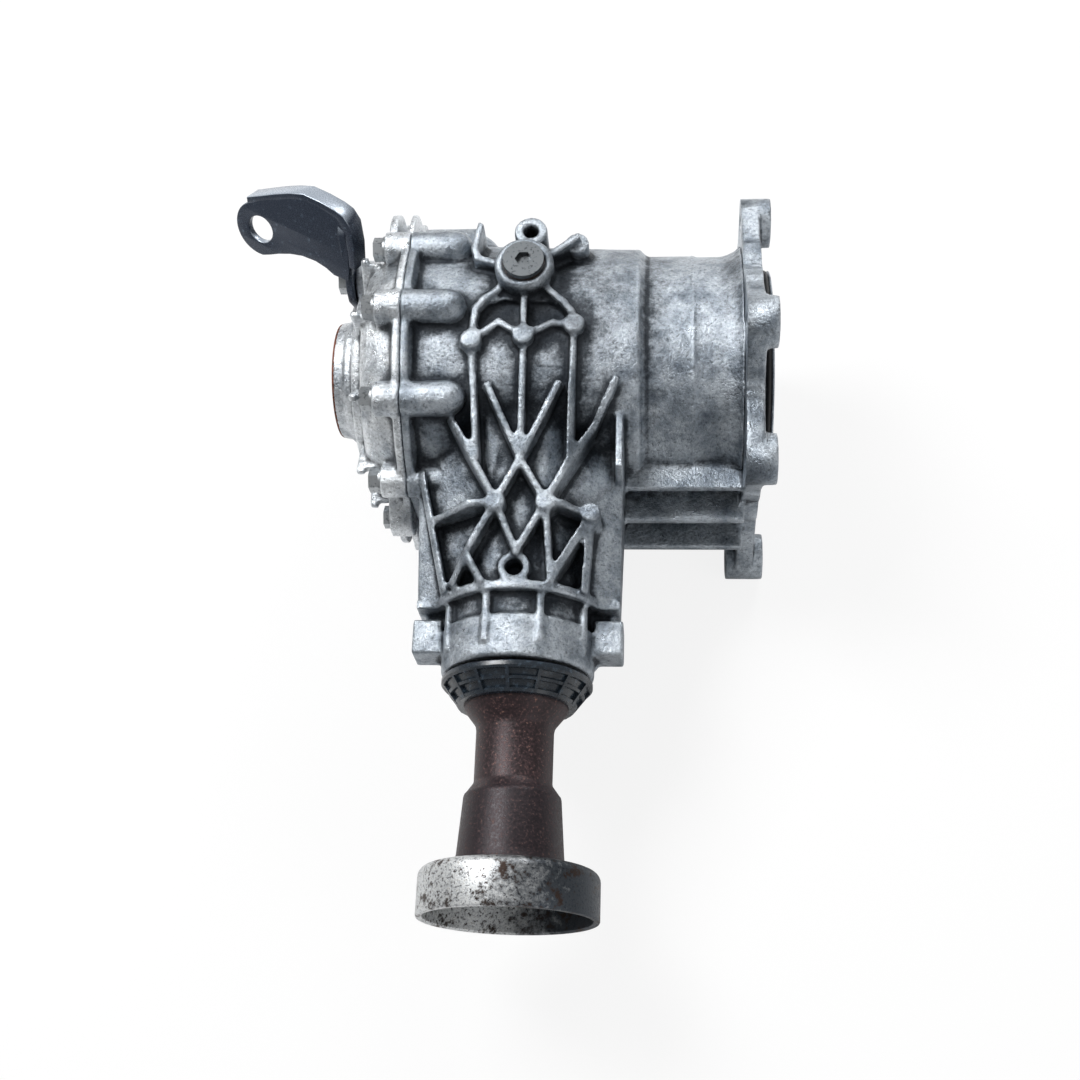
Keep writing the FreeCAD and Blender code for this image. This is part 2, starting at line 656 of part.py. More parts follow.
def rib_truss():
    """Ribs of one height above the skin: upright walls, trimmed by a roof that lies over the skin."""
    top = 120.0
    low = 20.0
    ribs = [wall(f"truss_rib_{index}", node(start), node(end), d.rib_thickness, Size(low, repr(low)), top)
            for index, (start, end) in enumerate(TRUSS)]
    roof = loft("rib_roof",
                (1.0, roof_outline(d.rib_level_high, 54.0, 34.0, d.nose_half_width + 3.0)),
                (-d.ridge_offset - d.ridge_thickness,
                 roof_outline(d.rib_level_low, 20.0, 24.0, d.nose_half_width)))
    grown = cylinder("case_grown", d.case_radius + 3.0, 200.0, (across(-d.joint_offset), 0, 0), ALONG_X)
    trimmed = common("truss", fuse("truss_ribs", ribs), fuse("rib_envelope", [roof, grown]))
    mirrored = doc.addObject("Part::Mirroring", "truss_below")
    mirrored.Source = trimmed
    mirrored.Normal = Vector(0, 0, 1)
    return [trimmed, mirrored]


def case_bosses():
    """Everything that stands on top of the case, and the holes in it."""
    pieces = []
    holes = []
    base = 40.0
    pieces.append(lathe("plug_boss", [
        (0.0, base), (d.plug_boss_radius + 4.0, base), (d.plug_boss_radius, d.plug_boss_level - 16.0),
        (d.plug_boss_radius, d.plug_boss_level - 2.0), (d.plug_boss_radius - 2.0, d.plug_boss_level),
        (0.0, d.plug_boss_level)], (across(d.plug_x), d.plug_y, 0)))
    holes.append(cylinder("plug_hole", d.plug_thread + d.fit_gap, 60.0,
                          (across(d.plug_x), d.plug_y, d.plug_boss_level - 60.0)))
    holes.append(cylinder("plug_spot_face", d.plug_head + 1.2, 3.0,
                          (across(d.plug_x), d.plug_y, d.plug_boss_level - 2.0)))
    pieces.append(cylinder("vent_boss", d.vent_radius, d.vent_level - base, (across(d.vent_x), d.vent_y, base)))
    holes.append(cylinder("vent_bore", d.vent_hole, d.vent_depth + 5.0,
                          (across(d.vent_x), d.vent_y, d.vent_level - d.vent_depth)))
    pieces.append(cylinder("post", d.post_radius, d.post_level - base, (across(d.post_x), d.post_y, base)))
    pieces.append(cylinder("post_nub", 2.4, d.post_level - base - 6.0, (across(d.post_x), d.post_y + 9.5, base)))
    for name in ("pad_left", "pad_middle", "pad_right"):
        x, y = node(name)
        pieces.append(cylinder(name, d.pad_radius, d.pad_level - base, (x, y, base)))
        pieces.append(cone(name + "_root", d.pad_radius + 4.0, d.pad_radius, d.pad_level - 6.0 - base, (x, y, base)))
    for name, level in (("web_left", 61.0), ("web_right", 61.0), ("right_node", 52.0)):
        x, y = node(name)
        pieces.append(cylinder(name + "_pad", d.pad_radius - 0.4, level - 20.0, (x, y, 20.0)))
    pieces.append(cylinder("tapped_boss", d.tapped_radius, d.tapped_level - 20.0, (-d.axis_distance, d.tapped_y, 20.0)))
    holes.append(cylinder("tapped_bore", d.tapped_hole, d.tapped_depth + 1.0,
                          (-d.axis_distance, d.tapped_y, d.tapped_level - d.tapped_depth)))
    for index, (start, end) in enumerate(CASE_RIBS):
        low = Size(base, repr(base))
        pieces.append(wall(f"case_rib_{index}", node(start), node(end), d.rib_thickness, low, d.case_rib_level))
    for side, outline in HOLLOWS.items():
        holes.append(slab(f"hollow_{side}", outline, 15.0, (-d.axis_distance, 0, d.hollow_level)))
    pieces.append(cylinder("top_block", 22.0, 34.0, (across(-d.joint_offset + 3.0), 68.0, 30.0), ALONG_X))
    pieces.append(ball("top_block_end", 22.0, (across(-d.joint_offset + 30.0), 66.0, 29.0)))
    pieces.append(cylinder("drain_boss", d.plug_boss_radius - 2.0, -d.drain_level - base,
                           (across(d.drain_x), d.drain_y, d.drain_level)))
    holes.append(cylinder("drain_hole", d.plug_thread + d.fit_gap, 40.0,
                          (across(d.drain_x), d.drain_y, d.drain_level - 1.0)))
    return pieces, holes


def shelves():
    """Two long shelves and their web between the nose and the gearbox flange, on the front of the case."""
    start = d.nose_half_width - 6.0
    length = d.axis_distance - d.boss_rise - d.flange_thickness - start + 2.0
    pieces = []
    for name, level, front in (("shelf_upper", 1.0, 98.0), ("shelf_lower", -32.0, 101.5)):
        pieces.append(box(name, length, front - 55.0, 6.0, (across(start), -front, level - 6.0)))
    pieces.append(box("shelf_web", length, 24.0, 5.0, (across(start), -88.0, 20.0)))
    pieces.append(box("cross_rib", 5.0, 42.0, 62.0, (across(d.nose_half_width - 5.0), -90.0, -2.0)))
    return pieces


def main_housing():
    joint = -d.joint_offset
    step = d.step_offset
    neck_end = d.axis_distance - d.boss_rise - d.flange_thickness
    barrel = lathe("case_barrel", [
        (0.0, joint), (d.rim_radius, joint), (d.rim_radius, joint + d.rim_thickness),
        (d.case_radius + 1.0, joint + d.rim_thickness + 3.0), (d.case_radius - 0.3, -20.0),
        (d.case_radius_right + 0.4, 60.0), (d.case_radius_right, step), (d.neck_radius, step + d.step_length),
        (d.neck_radius, neck_end + 1.0), (0.0, neck_end + 1.0)], (-d.axis_distance, 0, 0), ALONG_X)
    flange_pieces, flange_holes = gearbox_flange()
    boss_pieces, boss_holes = cover_bolt_bosses()
    top_pieces, top_holes = case_bosses()
    outer = fuse("housing_outer", [barrel] + flange_pieces + boss_pieces + nose_pieces() + shelves()
                 + rib_truss() + top_pieces)
    inner = d.case_radius_right - d.case_wall
    cup = d.crown_cup_radius + d.fit_gap
    near = d.crown_right_near
    far = near + d.crown_bearing_width
    seal_end = far + d.shim_thickness + d.input_seal_width + 4.0
    cavity = lathe("case_cavity", [
        (0.0, joint - 1.0), (inner, joint - 1.0), (inner, d.bulkhead_offset - 18.0),
        (inner - 12.0, d.bulkhead_offset), (d.hub_radius, d.bulkhead_offset),
        (d.hub_radius, near - 0.5), (0.0, near - 0.5)], (-d.axis_distance, 0, 0), ALONG_X)
    bearing_bore = lathe("bearing_bore", [
        (0.0, near - 1.0), (cup, near - 1.0), (cup, far), (d.input_seal_radius + d.fit_gap, far),
        (d.input_seal_radius + d.fit_gap, seal_end), (0.0, seal_end)], (-d.axis_distance, 0, 0), ALONG_X)
    gearbox_side = lathe("gearbox_side", [
        (0.0, seal_end - 0.5), (d.input_seal_radius + 4.0, seal_end - 0.5),
        (d.hub_radius, d.bulkhead_offset + d.bulkhead_thickness + 10.0),
        (d.neck_radius - d.case_wall, d.bulkhead_offset + d.bulkhead_thickness + 14.0),
        (d.neck_radius - d.case_wall, neck_end - 6.0), (d.register_radius, d.axis_distance - d.register_length),
        (d.register_radius, d.axis_distance + 1.0), (0.0, d.axis_distance + 1.0)],
        (-d.axis_distance, 0, 0), ALONG_X)
    nose_room = loft("nose_room",
                     (-50.0, roof_outline(d.roof_high - d.case_wall, 30.0, 15.0, d.nose_half_width - d.case_wall)),
                     (6.0 - d.ridge_offset,
                      roof_outline(d.roof_low - 3.5, 8.0, 11.0, d.nose_half_width - d.case_wall - 2.0)))
    shelled = cut("housing_shell", outer, [cavity, bearing_bore, gearbox_side, nose_room])
    outside = d.head_cup_radius + 8.0
    behind = d.tail_cup_radius + 8.0
    carrier = lathe("pinion_carrier", [
        (0.0, d.head_near - 0.5), (outside, d.head_near - 0.5), (outside, d.head_near + 38.0),
        (behind, d.head_near + 46.0), (behind, d.ridge_offset - 4.0), (0.0, d.ridge_offset - 4.0)],
        (-d.axis_distance, 0, 0), ALONG_MINUS_Y)
    filled = fuse("housing_filled", [shelled, carrier])
    head_bore = d.head_cup_radius + d.fit_gap
    tail_bore = d.tail_cup_radius + d.fit_gap
    head_end = d.head_near + d.head_width + d.shim_thickness
    nose_bore = lathe("nose_bore", [
        (0.0, d.head_near - 6.0), (head_bore, d.head_near - 6.0), (head_bore, head_end),
        (head_bore - 7.0, head_end), (tail_bore - 4.0, head_end + 12.0), (tail_bore - 4.0, d.tail_near),
        (tail_bore, d.tail_near), (tail_bore, d.nose_length + 1.0), (0.0, d.nose_length + 1.0)],
        (-d.axis_distance, 0, 0), ALONG_MINUS_Y)
    wheel_room = lathe("wheel_room", [
        (30.0, 6.0), (68.5, 6.0), (68.5, d.wheel_back + 2.0), (30.0, d.wheel_back + 2.0)],
        (-d.axis_distance, 0, 0), ALONG_X)
    ring_seat = d.register_radius + d.register_wall
    groove = lathe("ring_groove", [
        (ring_seat - 2 * d.ring_section, -4.9), (ring_seat + 3.0, -4.9), (ring_seat + 3.0, -1.5),
        (ring_seat - 2 * d.ring_section, -1.5)], (0, 0, 0), ALONG_X)
    trimmed = cut("main_housing", filled,
                  [nose_bore, wheel_room, groove] + flange_holes + boss_holes + top_holes + dowel_holes("case"))
    return trimmed


def dowel_places():
    """(y, z) of the two locating dowels, halfway between cover bolts on opposite sides."""
    half_pitch = 180.0 / d.bolt_count
    return [on_circle(d.bolt_circle, bolt_angle(index) + half_pitch) for index in (1, 6)]


def dowel_holes(side):
    holes = []
    for index, (y, z) in enumerate(dowel_places()):
        start = across(-d.joint_offset) if side == "case" else across(-d.joint_offset - 3.5)
        holes.append(cylinder(f"{side}_dowel_hole_{index}", 3.0 + d.fit_gap, 3.5, (start, y, z), ALONG_X))
    return holes


def side_cover():
    """The cover: stepped dome with collar, scalloped rim, bolt lugs, ears and bracket bosses."""
    joint = -d.joint_offset
    tip = joint - d.collar_length
    near = d.crown_left_near
    far = near + d.crown_bearing_width
    wall_in = d.case_wall
    dome = lathe("cover_dome", [
        (0.0, joint), (d.rim_radius, joint), (d.rim_radius, joint - d.rim_thickness),
        (d.cover_skirt, joint - d.rim_thickness - 2.0), (d.cover_skirt - 4.0, joint - 16.0),
        (75.0, joint - 24.0), (70.0, joint - 28.0), (60.0, joint - 29.0), (57.0, joint - 36.0),
        (d.collar_radius + 9.0, joint - 37.0), (d.collar_radius, joint - 38.0),
        (d.collar_radius - 1.0, tip + 9.0), (d.collar_tip_radius + 1.1, tip + 8.0),
        (d.collar_tip_radius, tip + 0.5), (d.collar_tip_radius - 1.0, tip), (0.0, tip)],
        (-d.axis_distance, 0, 0), ALONG_X)
    pieces = [dome]
    holes = []
    for index in range(int(d.bolt_count.value)):
        y, z = on_circle(d.bolt_circle, bolt_angle(index))
        pieces.append(cylinder(f"cover_lug_{index}", d.bolt_boss_radius, d.cover_lug_height,
                               (across(joint - d.cover_lug_height), y, z), ALONG_X))
        holes.append(cylinder(f"cover_hole_{index}", d.bolt_radius + d.bolt_clearance, d.cover_lug_height + 2.0,
                              (across(joint - d.cover_lug_height - 1.0), y, z), ALONG_X))
        holes.append(cylinder(f"cover_spot_{index}", d.bolt_flange + 1.0, 12.0,
                              (across(joint - d.cover_lug_height - 12.0), y, z), ALONG_X))
        rib_y, rib_z = on_circle(d.collar_radius - 4.0, bolt_angle(index))
        rib = box(f"cover_rib_{index}", 12.0, 46.0, 4.5, (0, 0, 0), UP)
        rib.Placement = Placement(Vector(), Rotation(Vector(1, 0, 0), bolt_angle(index).value))
        turn = bolt_angle(index)
        rib.setExpression("Placement.Base.x", across(joint - 33.0).text)
        rib.setExpression("Placement.Base.y", (rib_y + 2.25 * sine(turn)).text)
        rib.setExpression("Placement.Base.z", (rib_z - 2.25 * cosine(turn)).text)
        pieces.append(rib)
    for name, y, z in cover_ears():
        pieces.append(lug_web(f"ear_web_{name}", d.cover_skirt * 0.8, d.ear_radius, y, z,
                              d.rim_thickness + 10.0, across(joint - d.rim_thickness - 10.0)))
        pieces.append(cylinder(f"ear_{name}", d.ear_radius, d.rim_thickness + 10.0,
                               (across(joint - d.rim_thickness - 10.0), y, z), ALONG_X))
    for name, y, z in bracket_places():
        reach = d.bracket_boss_reach
        pieces.append(cylinder(f"bracket_boss_{name}", d.bracket_boss_radius, reach - 12.0,
                               (across(joint - reach), y, z), ALONG_X))
        holes.append(cylinder(f"bracket_thread_{name}", d.bolt_radius + d.fit_gap, 20.0,
                              (across(joint - reach - 1.0), y, z), ALONG_X))
    outer = fuse("cover_outer", pieces)
    inner = d.case_radius_right - d.case_wall
    cup = d.crown_cup_radius + d.fit_gap
    room = lathe("cover_room", [
        (d.hub_radius, joint + 1.0), (inner, joint + 1.0), (inner - 2.0, joint - 14.0),
        (68.0, joint - 20.0), (d.hub_radius + 1.0, joint - 22.0)], (-d.axis_distance, 0, 0), ALONG_X)
    back = far + d.shim_thickness
    seal_seat = joint - d.collar_length + d.collar_seal_width + 1.0
    bore = lathe("cover_bore", [
        (0.0, joint + 1.0), (cup, joint + 1.0), (cup, -back), (d.shaft_radius + 3.0, -back),
        (d.shaft_radius + 3.0, seal_seat), (d.collar_seal_radius + d.fit_gap, seal_seat),
        (d.collar_seal_radius + d.fit_gap, tip - 1.0), (0.0, tip - 1.0)], (-d.axis_distance, 0, 0), ALONG_X)
    hub_face = lathe("cover_hub_face", [
        (0.0, joint + 1.0), (d.hub_radius + 0.5, joint + 1.0), (d.hub_radius + 0.5, 1.0 - near + 0.5),
        (0.0, 1.0 - near + 0.5)], (-d.axis_distance, 0, 0), ALONG_X)
    slots = []
    for name, y, z in cover_ears():
        if name.startswith("seen"):
            slots.append(cylinder(f"slot_{name}", d.ear_radius - 4.0, 6.5,
                                  (across(joint - d.rim_thickness - 7.5), y * 0.97, z * 0.97 + 5.0), ALONG_X))
    return cut("side_cover", outer, [room, bore, hub_face] + holes + dowel_holes("cover") + slots)


def cover_ears():
    """Ears of the joint rim: two in the photograph's view, and two that carry the unit from below."""
    low = d.foot_level + d.ear_radius
    return [
        ("seen_rear", d.rim_radius * 0.96, 22.0 + 0 * d.rim_radius),
        ("seen_front", -d.rim_radius * 1.0, -6.0 + 0 * d.rim_radius),
        ("front_foot", d.front_foot_y, low),
        ("rear_foot", d.rear_foot_y, low),
    ]


def bracket_places():
    return [("upper", d.bracket_boss_y, d.bracket_boss_z), ("lower", d.bracket_low_y, d.bracket_low_z)]


def hex_bolt(name, y, z, seat, reach, key, flange):
    """A flanged hexagon bolt along X whose head lies left of its seat."""
    shank = cylinder(name + "_shank", d.bolt_radius, reach, (seat, y, z), ALONG_X)
    washer = cylinder(name + "_flange", flange, d.bolt_flange_height, (seat - d.bolt_flange_height, y, z), ALONG_X)
    head = hexagon(name + "_head", key, d.bolt_head_height,
                   (seat - d.bolt_flange_height - d.bolt_head_height, y, z), ALONG_X)
    return fuse(name, [shank, washer, head])


def cover_bolts():
    seat = across(-d.joint_offset - d.cover_lug_height)
    bolts = []
    for index in range(int(d.bolt_count.value)):
        y, z = on_circle(d.bolt_circle, bolt_angle(index))
        bolts.append(hex_bolt(f"cover_bolt_{index}", y, z, seat, d.cover_lug_height + d.bolt_reach,
                              d.bolt_key, d.bolt_flange))
    return group("cover_bolts", bolts)


def bracket_bolts():
    seat = across(-d.joint_offset - d.bracket_boss_reach - d.bracket_sheet)
    return group("bracket_bolts", [
        hex_bolt(f"bracket_bolt_{name}", y, z, seat, d.bracket_sheet + 16.0, d.bolt_key, d.bolt_flange)
        for name, y, z in bracket_places()])


def support_bracket():
    """Pressed steel: a leg on the cover's bosses, an arm with the bolt eye, and a folded edge along both."""
    sheet = d.bracket_sheet
    leg_left = across(-d.joint_offset - d.bracket_boss_reach - sheet)
    upper_y, upper_z = d.bracket_boss_y, d.bracket_boss_z
    low_y, low_z = d.bracket_low_y, d.bracket_low_z
    leg = slab("bracket_leg", [
        (upper_y - 18.0, upper_z + 6.0), (upper_y - 10.0, upper_z - 14.0), (low_y - 13.0, low_z - 8.0),
        (low_y, low_z - 15.0), (low_y + 13.0, low_z - 8.0), (upper_y + 15.0, upper_z),
        (upper_y + 17.0, upper_z + 30.0), (upper_y + 12.0, upper_z + 54.0), (upper_y + 2.0, upper_z + 50.0)],
        sheet, (leg_left, 0, 0), Rotation(Vector(1, 1, 1), 120))
    level = Rotation(Vector(0, 0, 1), -d.bracket_turn.value)
    tilt = Rotation(Vector(1, 0, 0), d.bracket_lean.value)
    lie = level.multiply(tilt)
    eye_at = (across(-d.bracket_eye_offset), d.bracket_eye_y, d.bracket_eye_z)
    arm_length = d.bracket_arm
    top = 27.0
    arm = slab("bracket_arm", [
        (-10.0, 15.0), (-8.0, top - 2.0), (arm_length - 14.0, top + 6.0), (arm_length + 4.0, top + 2.0),
        (arm_length + 6.0, -12.0), (arm_length - 14.0, -8.0), (24.0, -7.0), (12.0, -12.0), (3.0, -18.0)],
        sheet, eye_at, lie)
    lobe = cylinder("bracket_lobe", d.bracket_eye_radius, sheet, eye_at, lie)
    ring = cylinder("bracket_ring", d.bracket_eye_hole + 4.5, sheet + d.bracket_embossing, eye_at, lie)
    hole = cylinder("bracket_hole", d.bracket_eye_hole, 60.0, eye_at, lie)
    back = lie.multVec(Vector(0, 0, -30))
    hole.setExpression("Placement.Base.x", (eye_at[0] + back.x).text)
    hole.setExpression("Placement.Base.y", (eye_at[1] + back.y).text)
    hole.setExpression("Placement.Base.z", (eye_at[2] + back.z).text)
    fold = slab("bracket_fold", [
        (-9.0, top - 6.0), (-8.0, top - 1.5), (arm_length - 14.0, top + 6.5), (arm_length + 5.0, top + 2.0),
        (arm_length + 5.0, top - 2.6), (arm_length - 14.0, top + 1.8)],
        d.bracket_fold, eye_at, lie)
    behind = lie.multVec(Vector(0, 0, 1))
    fold.setExpression("Placement.Base.x", (eye_at[0] - behind.x * (d.bracket_fold - sheet)).text)
    fold.setExpression("Placement.Base.y", (eye_at[1] - behind.y * (d.bracket_fold - sheet)).text)
    fold.setExpression("Placement.Base.z", (eye_at[2] - behind.z * (d.bracket_fold - sheet)).text)
    bolt_holes = [cylinder(f"leg_hole_{name}", d.bolt_radius + d.bolt_clearance, sheet + 4.0,
                           (leg_left - 2.0, y, z), ALONG_X) for name, y, z in bracket_places()]
    behind_leg = box("bracket_trim", 80.0, 200.0, 200.0, (leg_left + sheet, -20.0, -60.0))
    whole = fuse("bracket_whole", [leg, arm, lobe, ring, fold])
    return cut("support_bracket", whole, [hole, behind_leg] + bolt_holes)


def plug(name, turn, x, y, seat_level, sign):
    """A flanged screw plug with a hexagon socket; sign is +1 on top and -1 below."""
    seat = seat_level + sign * d.washer_thickness
    thread = cylinder(name + "_thread", d.plug_thread, d.plug_length, (x, y, seat), turn[0])
    head = cylinder(name + "_head", d.plug_head, d.plug_head_height, (x, y, seat), turn[1])
    socket_at = seat + sign * (d.plug_head_height - 3.5)
    socket = hexagon(name + "_socket", d.plug_key, 6.0, (x, y, socket_at), turn[1])
    return cut(name, fuse(name + "_solid", [thread, head]), [socket])


def plug_washer(name, x, y, level):
    ring = d.plug_head - 0.5
    return lathe(name, [(d.plug_thread + 0.1, 0.0), (ring, 0.0), (ring, d.washer_thickness),
                        (d.plug_thread + 0.1, d.washer_thickness)], (x, y, level))


def plugs():
    filler_x = across(d.plug_x)
    spot = d.plug_boss_level - 2.0
    drain_x = across(d.drain_x)
    return [
        plug("filler_plug", (DOWN, UP), filler_x, d.plug_y, spot, 1.0),
        plug_washer("filler_washer", filler_x, d.plug_y, spot),
        plug("drain_plug", (UP, DOWN), drain_x, d.drain_y, d.drain_level, -1.0),
        plug_washer("drain_washer", drain_x, d.drain_y, d.drain_level - d.washer_thickness),
    ]


def shaft_seal(name, outside, shaft, width, at, turn):
    """A lip seal: metal case and rubber lip in one ring, hollow towards the oil side."""
    lip = shaft + d.seal_lip_gap
    out = outside - d.fit_gap
    return lathe(name, [
        (lip + 2.5, 0.0), (out - 1.5, 0.0), (out, 1.0), (out, width), (out - 2.5, width),
        (out - 2.5, width * 0.35), (lip + 2.2, width * 0.35), (lip, width * 0.75), (lip, width * 0.5),
        (lip + 1.0, width * 0.2)], at, turn)


def seals():
    tip = -d.joint_offset - d.collar_length
    ring_seat = d.register_radius + d.register_wall
    ring = doc.addObject("Part::Torus", "register_o_ring")
    ring.setExpression("Radius1", (ring_seat - d.ring_section + 0.1).text)
    ring.setExpression("Radius2", d.ring_section.text)
    place(ring, (-3.2, 0, 0), ALONG_X)
    right = d.crown_right_near + d.crown_bearing_width + d.shim_thickness + d.input_seal_width + 3.0
    return [
        shaft_seal("collar_seal", d.collar_seal_radius, d.shaft_radius, d.collar_seal_width,
                   (across(tip), 0, 0), ALONG_X),
        shaft_seal("input_seal", d.input_seal_radius, d.shaft_radius, d.input_seal_width,
                   (across(right), 0, 0), ALONG_MINUS_X),
        shaft_seal("pinion_seal", d.pinion_seal_radius, d.hub_outer, d.pinion_seal_width,
                   (-d.axis_distance, -d.nose_length + 2.0, 0), Rotation(Vector(1, 0, 0), -90)),
        ring,
    ]


def locating_dowels():
    pieces = []
    for index, (y, z) in enumerate(dowel_places()):
        pieces.append(cylinder(f"dowel_{index}", 3.0, 6.6, (across(-d.joint_offset - 3.3), y, z), ALONG_X))
    return group("locating_dowels", pieces)


class TaperBearing:
    """A single row taper roller bearing about its own Z axis, its wide side at its far face."""

    def __init__(self, name, bore, outside, width, roller, count, at, turn):
        self.name = name
        self.bore = bore
        self.outside = outside
        self.width = width
        self.roller = roller
        self.count = int(count.value)
        self.at = at
        self.turn = turn
        self.pitch = (bore + outside) / 2
        self.middle = width / 2

    def race(self, side, z):
        """Radius of a raceway at a height; side is +1 for the cup and -1 for the cone."""
        slope = d.roller_tilt + side * d.roller_taper
        touch = (self.roller * cosine(d.roller_taper) + d.run_gap) / cosine(slope)
        return self.pitch + side * touch + (z - self.middle) * tangent(slope)

    def cup(self):
        outside = self.outside - d.fit_gap
        return lathe("cup_" + self.name, [
            (self.race(1, 0.12 * self.width), 0.12 * self.width), (outside - 0.8, 0.12 * self.width),
            (outside, 0.12 * self.width + 0.8), (outside, self.width), (self.race(1, self.width), self.width)],
            self.at, self.turn)

    def inner_ring(self):
        half = d.roller_share * self.width / 2 * cosine(d.roller_tilt)
        low = self.middle - half - 0.6
        high = self.middle + half + (self.roller + 0.5) * sine(d.roller_tilt) + 0.2
        bore = self.bore + d.fit_gap / 2
        return lathe("cone_" + self.name, [
            (bore, 0.0), (self.race(-1, low) + 1.2, 0.0), (self.race(-1, low) + 1.2, low),
            (self.race(-1, low), low), (self.race(-1, high), high),
            (self.race(-1, high) + 0.55 * self.roller, high),
            (self.race(-1, high) + 0.55 * self.roller, self.width), (bore, self.width)], self.at, self.turn)

    def tapered_pins(self, name, grow):
        """Tilted tapered pins on the bearing's pitch cone, one for each roller, grown all round."""
        half = d.roller_share.value * self.width.value / 2 + grow
        taper = math.tan(math.radians(d.roller_taper.value))
        tilt = d.roller_tilt.value
        near = self.roller.value - half * taper + grow
        far = self.roller.value + half * taper + grow
        where = Placement(Vector(*(number(size) for size in self.at)), self.turn)
        pins = []
        for index in range(self.count):
            pin = doc.addObject("Part::Cone", f"{name}_{index}")
            pin.Radius1 = near
            pin.Radius2 = far
            pin.Height = 2 * half
            lean = Placement(Vector(self.pitch.value, 0, self.middle.value), Rotation(Vector(0, 1, 0), tilt))
            start = Placement(Vector(0, 0, -half), Rotation())
            spin = Placement(Vector(), Rotation(Vector(0, 0, 1), index * 360.0 / self.count))
            pin.Placement = where.multiply(spin).multiply(lean).multiply(start)
            pins.append(pin)
        return pins

    def rollers(self):
        return group("rollers_" + self.name, self.tapered_pins(f"roller_{self.name}", 0.0))

    def cage(self):
        """A thin cone through the roller centres with a pocket for each roller."""
        reach = d.roller_share * self.width / 2 * cosine(d.roller_tilt) + 2.0
        lean = tangent(d.roller_tilt)
        corners = []
        for out, z in ((-0.8, -1.0), (0.8, -1.0), (0.8, 1.0), (-0.8, 1.0)):
            corners.append((self.pitch + 0.6 + out + z * reach * lean, self.middle + z * reach))
        shell = lathe(f"cage_shell_{self.name}", corners, self.at, self.turn)
        pockets = self.tapered_pins(f"pocket_{self.name}", 0.15)
        return cut("cage_" + self.name, shell, pockets)


def bearings():
    """Four taper roller bearings: two on the crown wheel shaft, two on the pinion."""
    crown = (d.shaft_radius, d.crown_cup_radius, d.crown_bearing_width, d.crown_roller, d.crown_rollers)
    left = (across(-d.crown_left_near - d.crown_bearing_width), 0, 0)
    right = (across(d.crown_right_near + d.crown_bearing_width), 0, 0)
    head = (-d.axis_distance, -d.head_near - d.head_width, 0)
    tail = (-d.axis_distance, -d.tail_near, 0)
    return [
        TaperBearing("cover_side", *crown, left, ALONG_X),
        TaperBearing("case_side", *crown, right, ALONG_MINUS_X),
        TaperBearing("pinion_head", d.head_bore, d.head_cup_radius, d.head_width, d.head_roller,
                     d.head_rollers, head, Rotation(Vector(1, 0, 0), -90)),
        TaperBearing("pinion_tail", d.tail_bore, d.tail_cup_radius, d.tail_width, d.tail_roller,
                     d.tail_rollers, tail, ALONG_MINUS_Y),
    ]


def shims():
    cup = d.crown_cup_radius
    back = d.crown_left_near + d.crown_bearing_width
    crown = lathe("crown_shim", [
        (cup - 7.0, 0.0), (cup - 0.2, 0.0), (cup - 0.2, d.shim_thickness), (cup - 7.0, d.shim_thickness)],
        (across(-back - d.shim_thickness), 0, 0), ALONG_X)
    head = d.head_cup_radius
    pinion = lathe("pinion_shim", [
        (head - 6.5, 0.0), (head - 0.2, 0.0), (head - 0.2, d.shim_thickness), (head - 6.5, d.shim_thickness)],
        (-d.axis_distance, -d.head_near - d.head_width, 0), ALONG_MINUS_Y)
    return [crown, pinion]


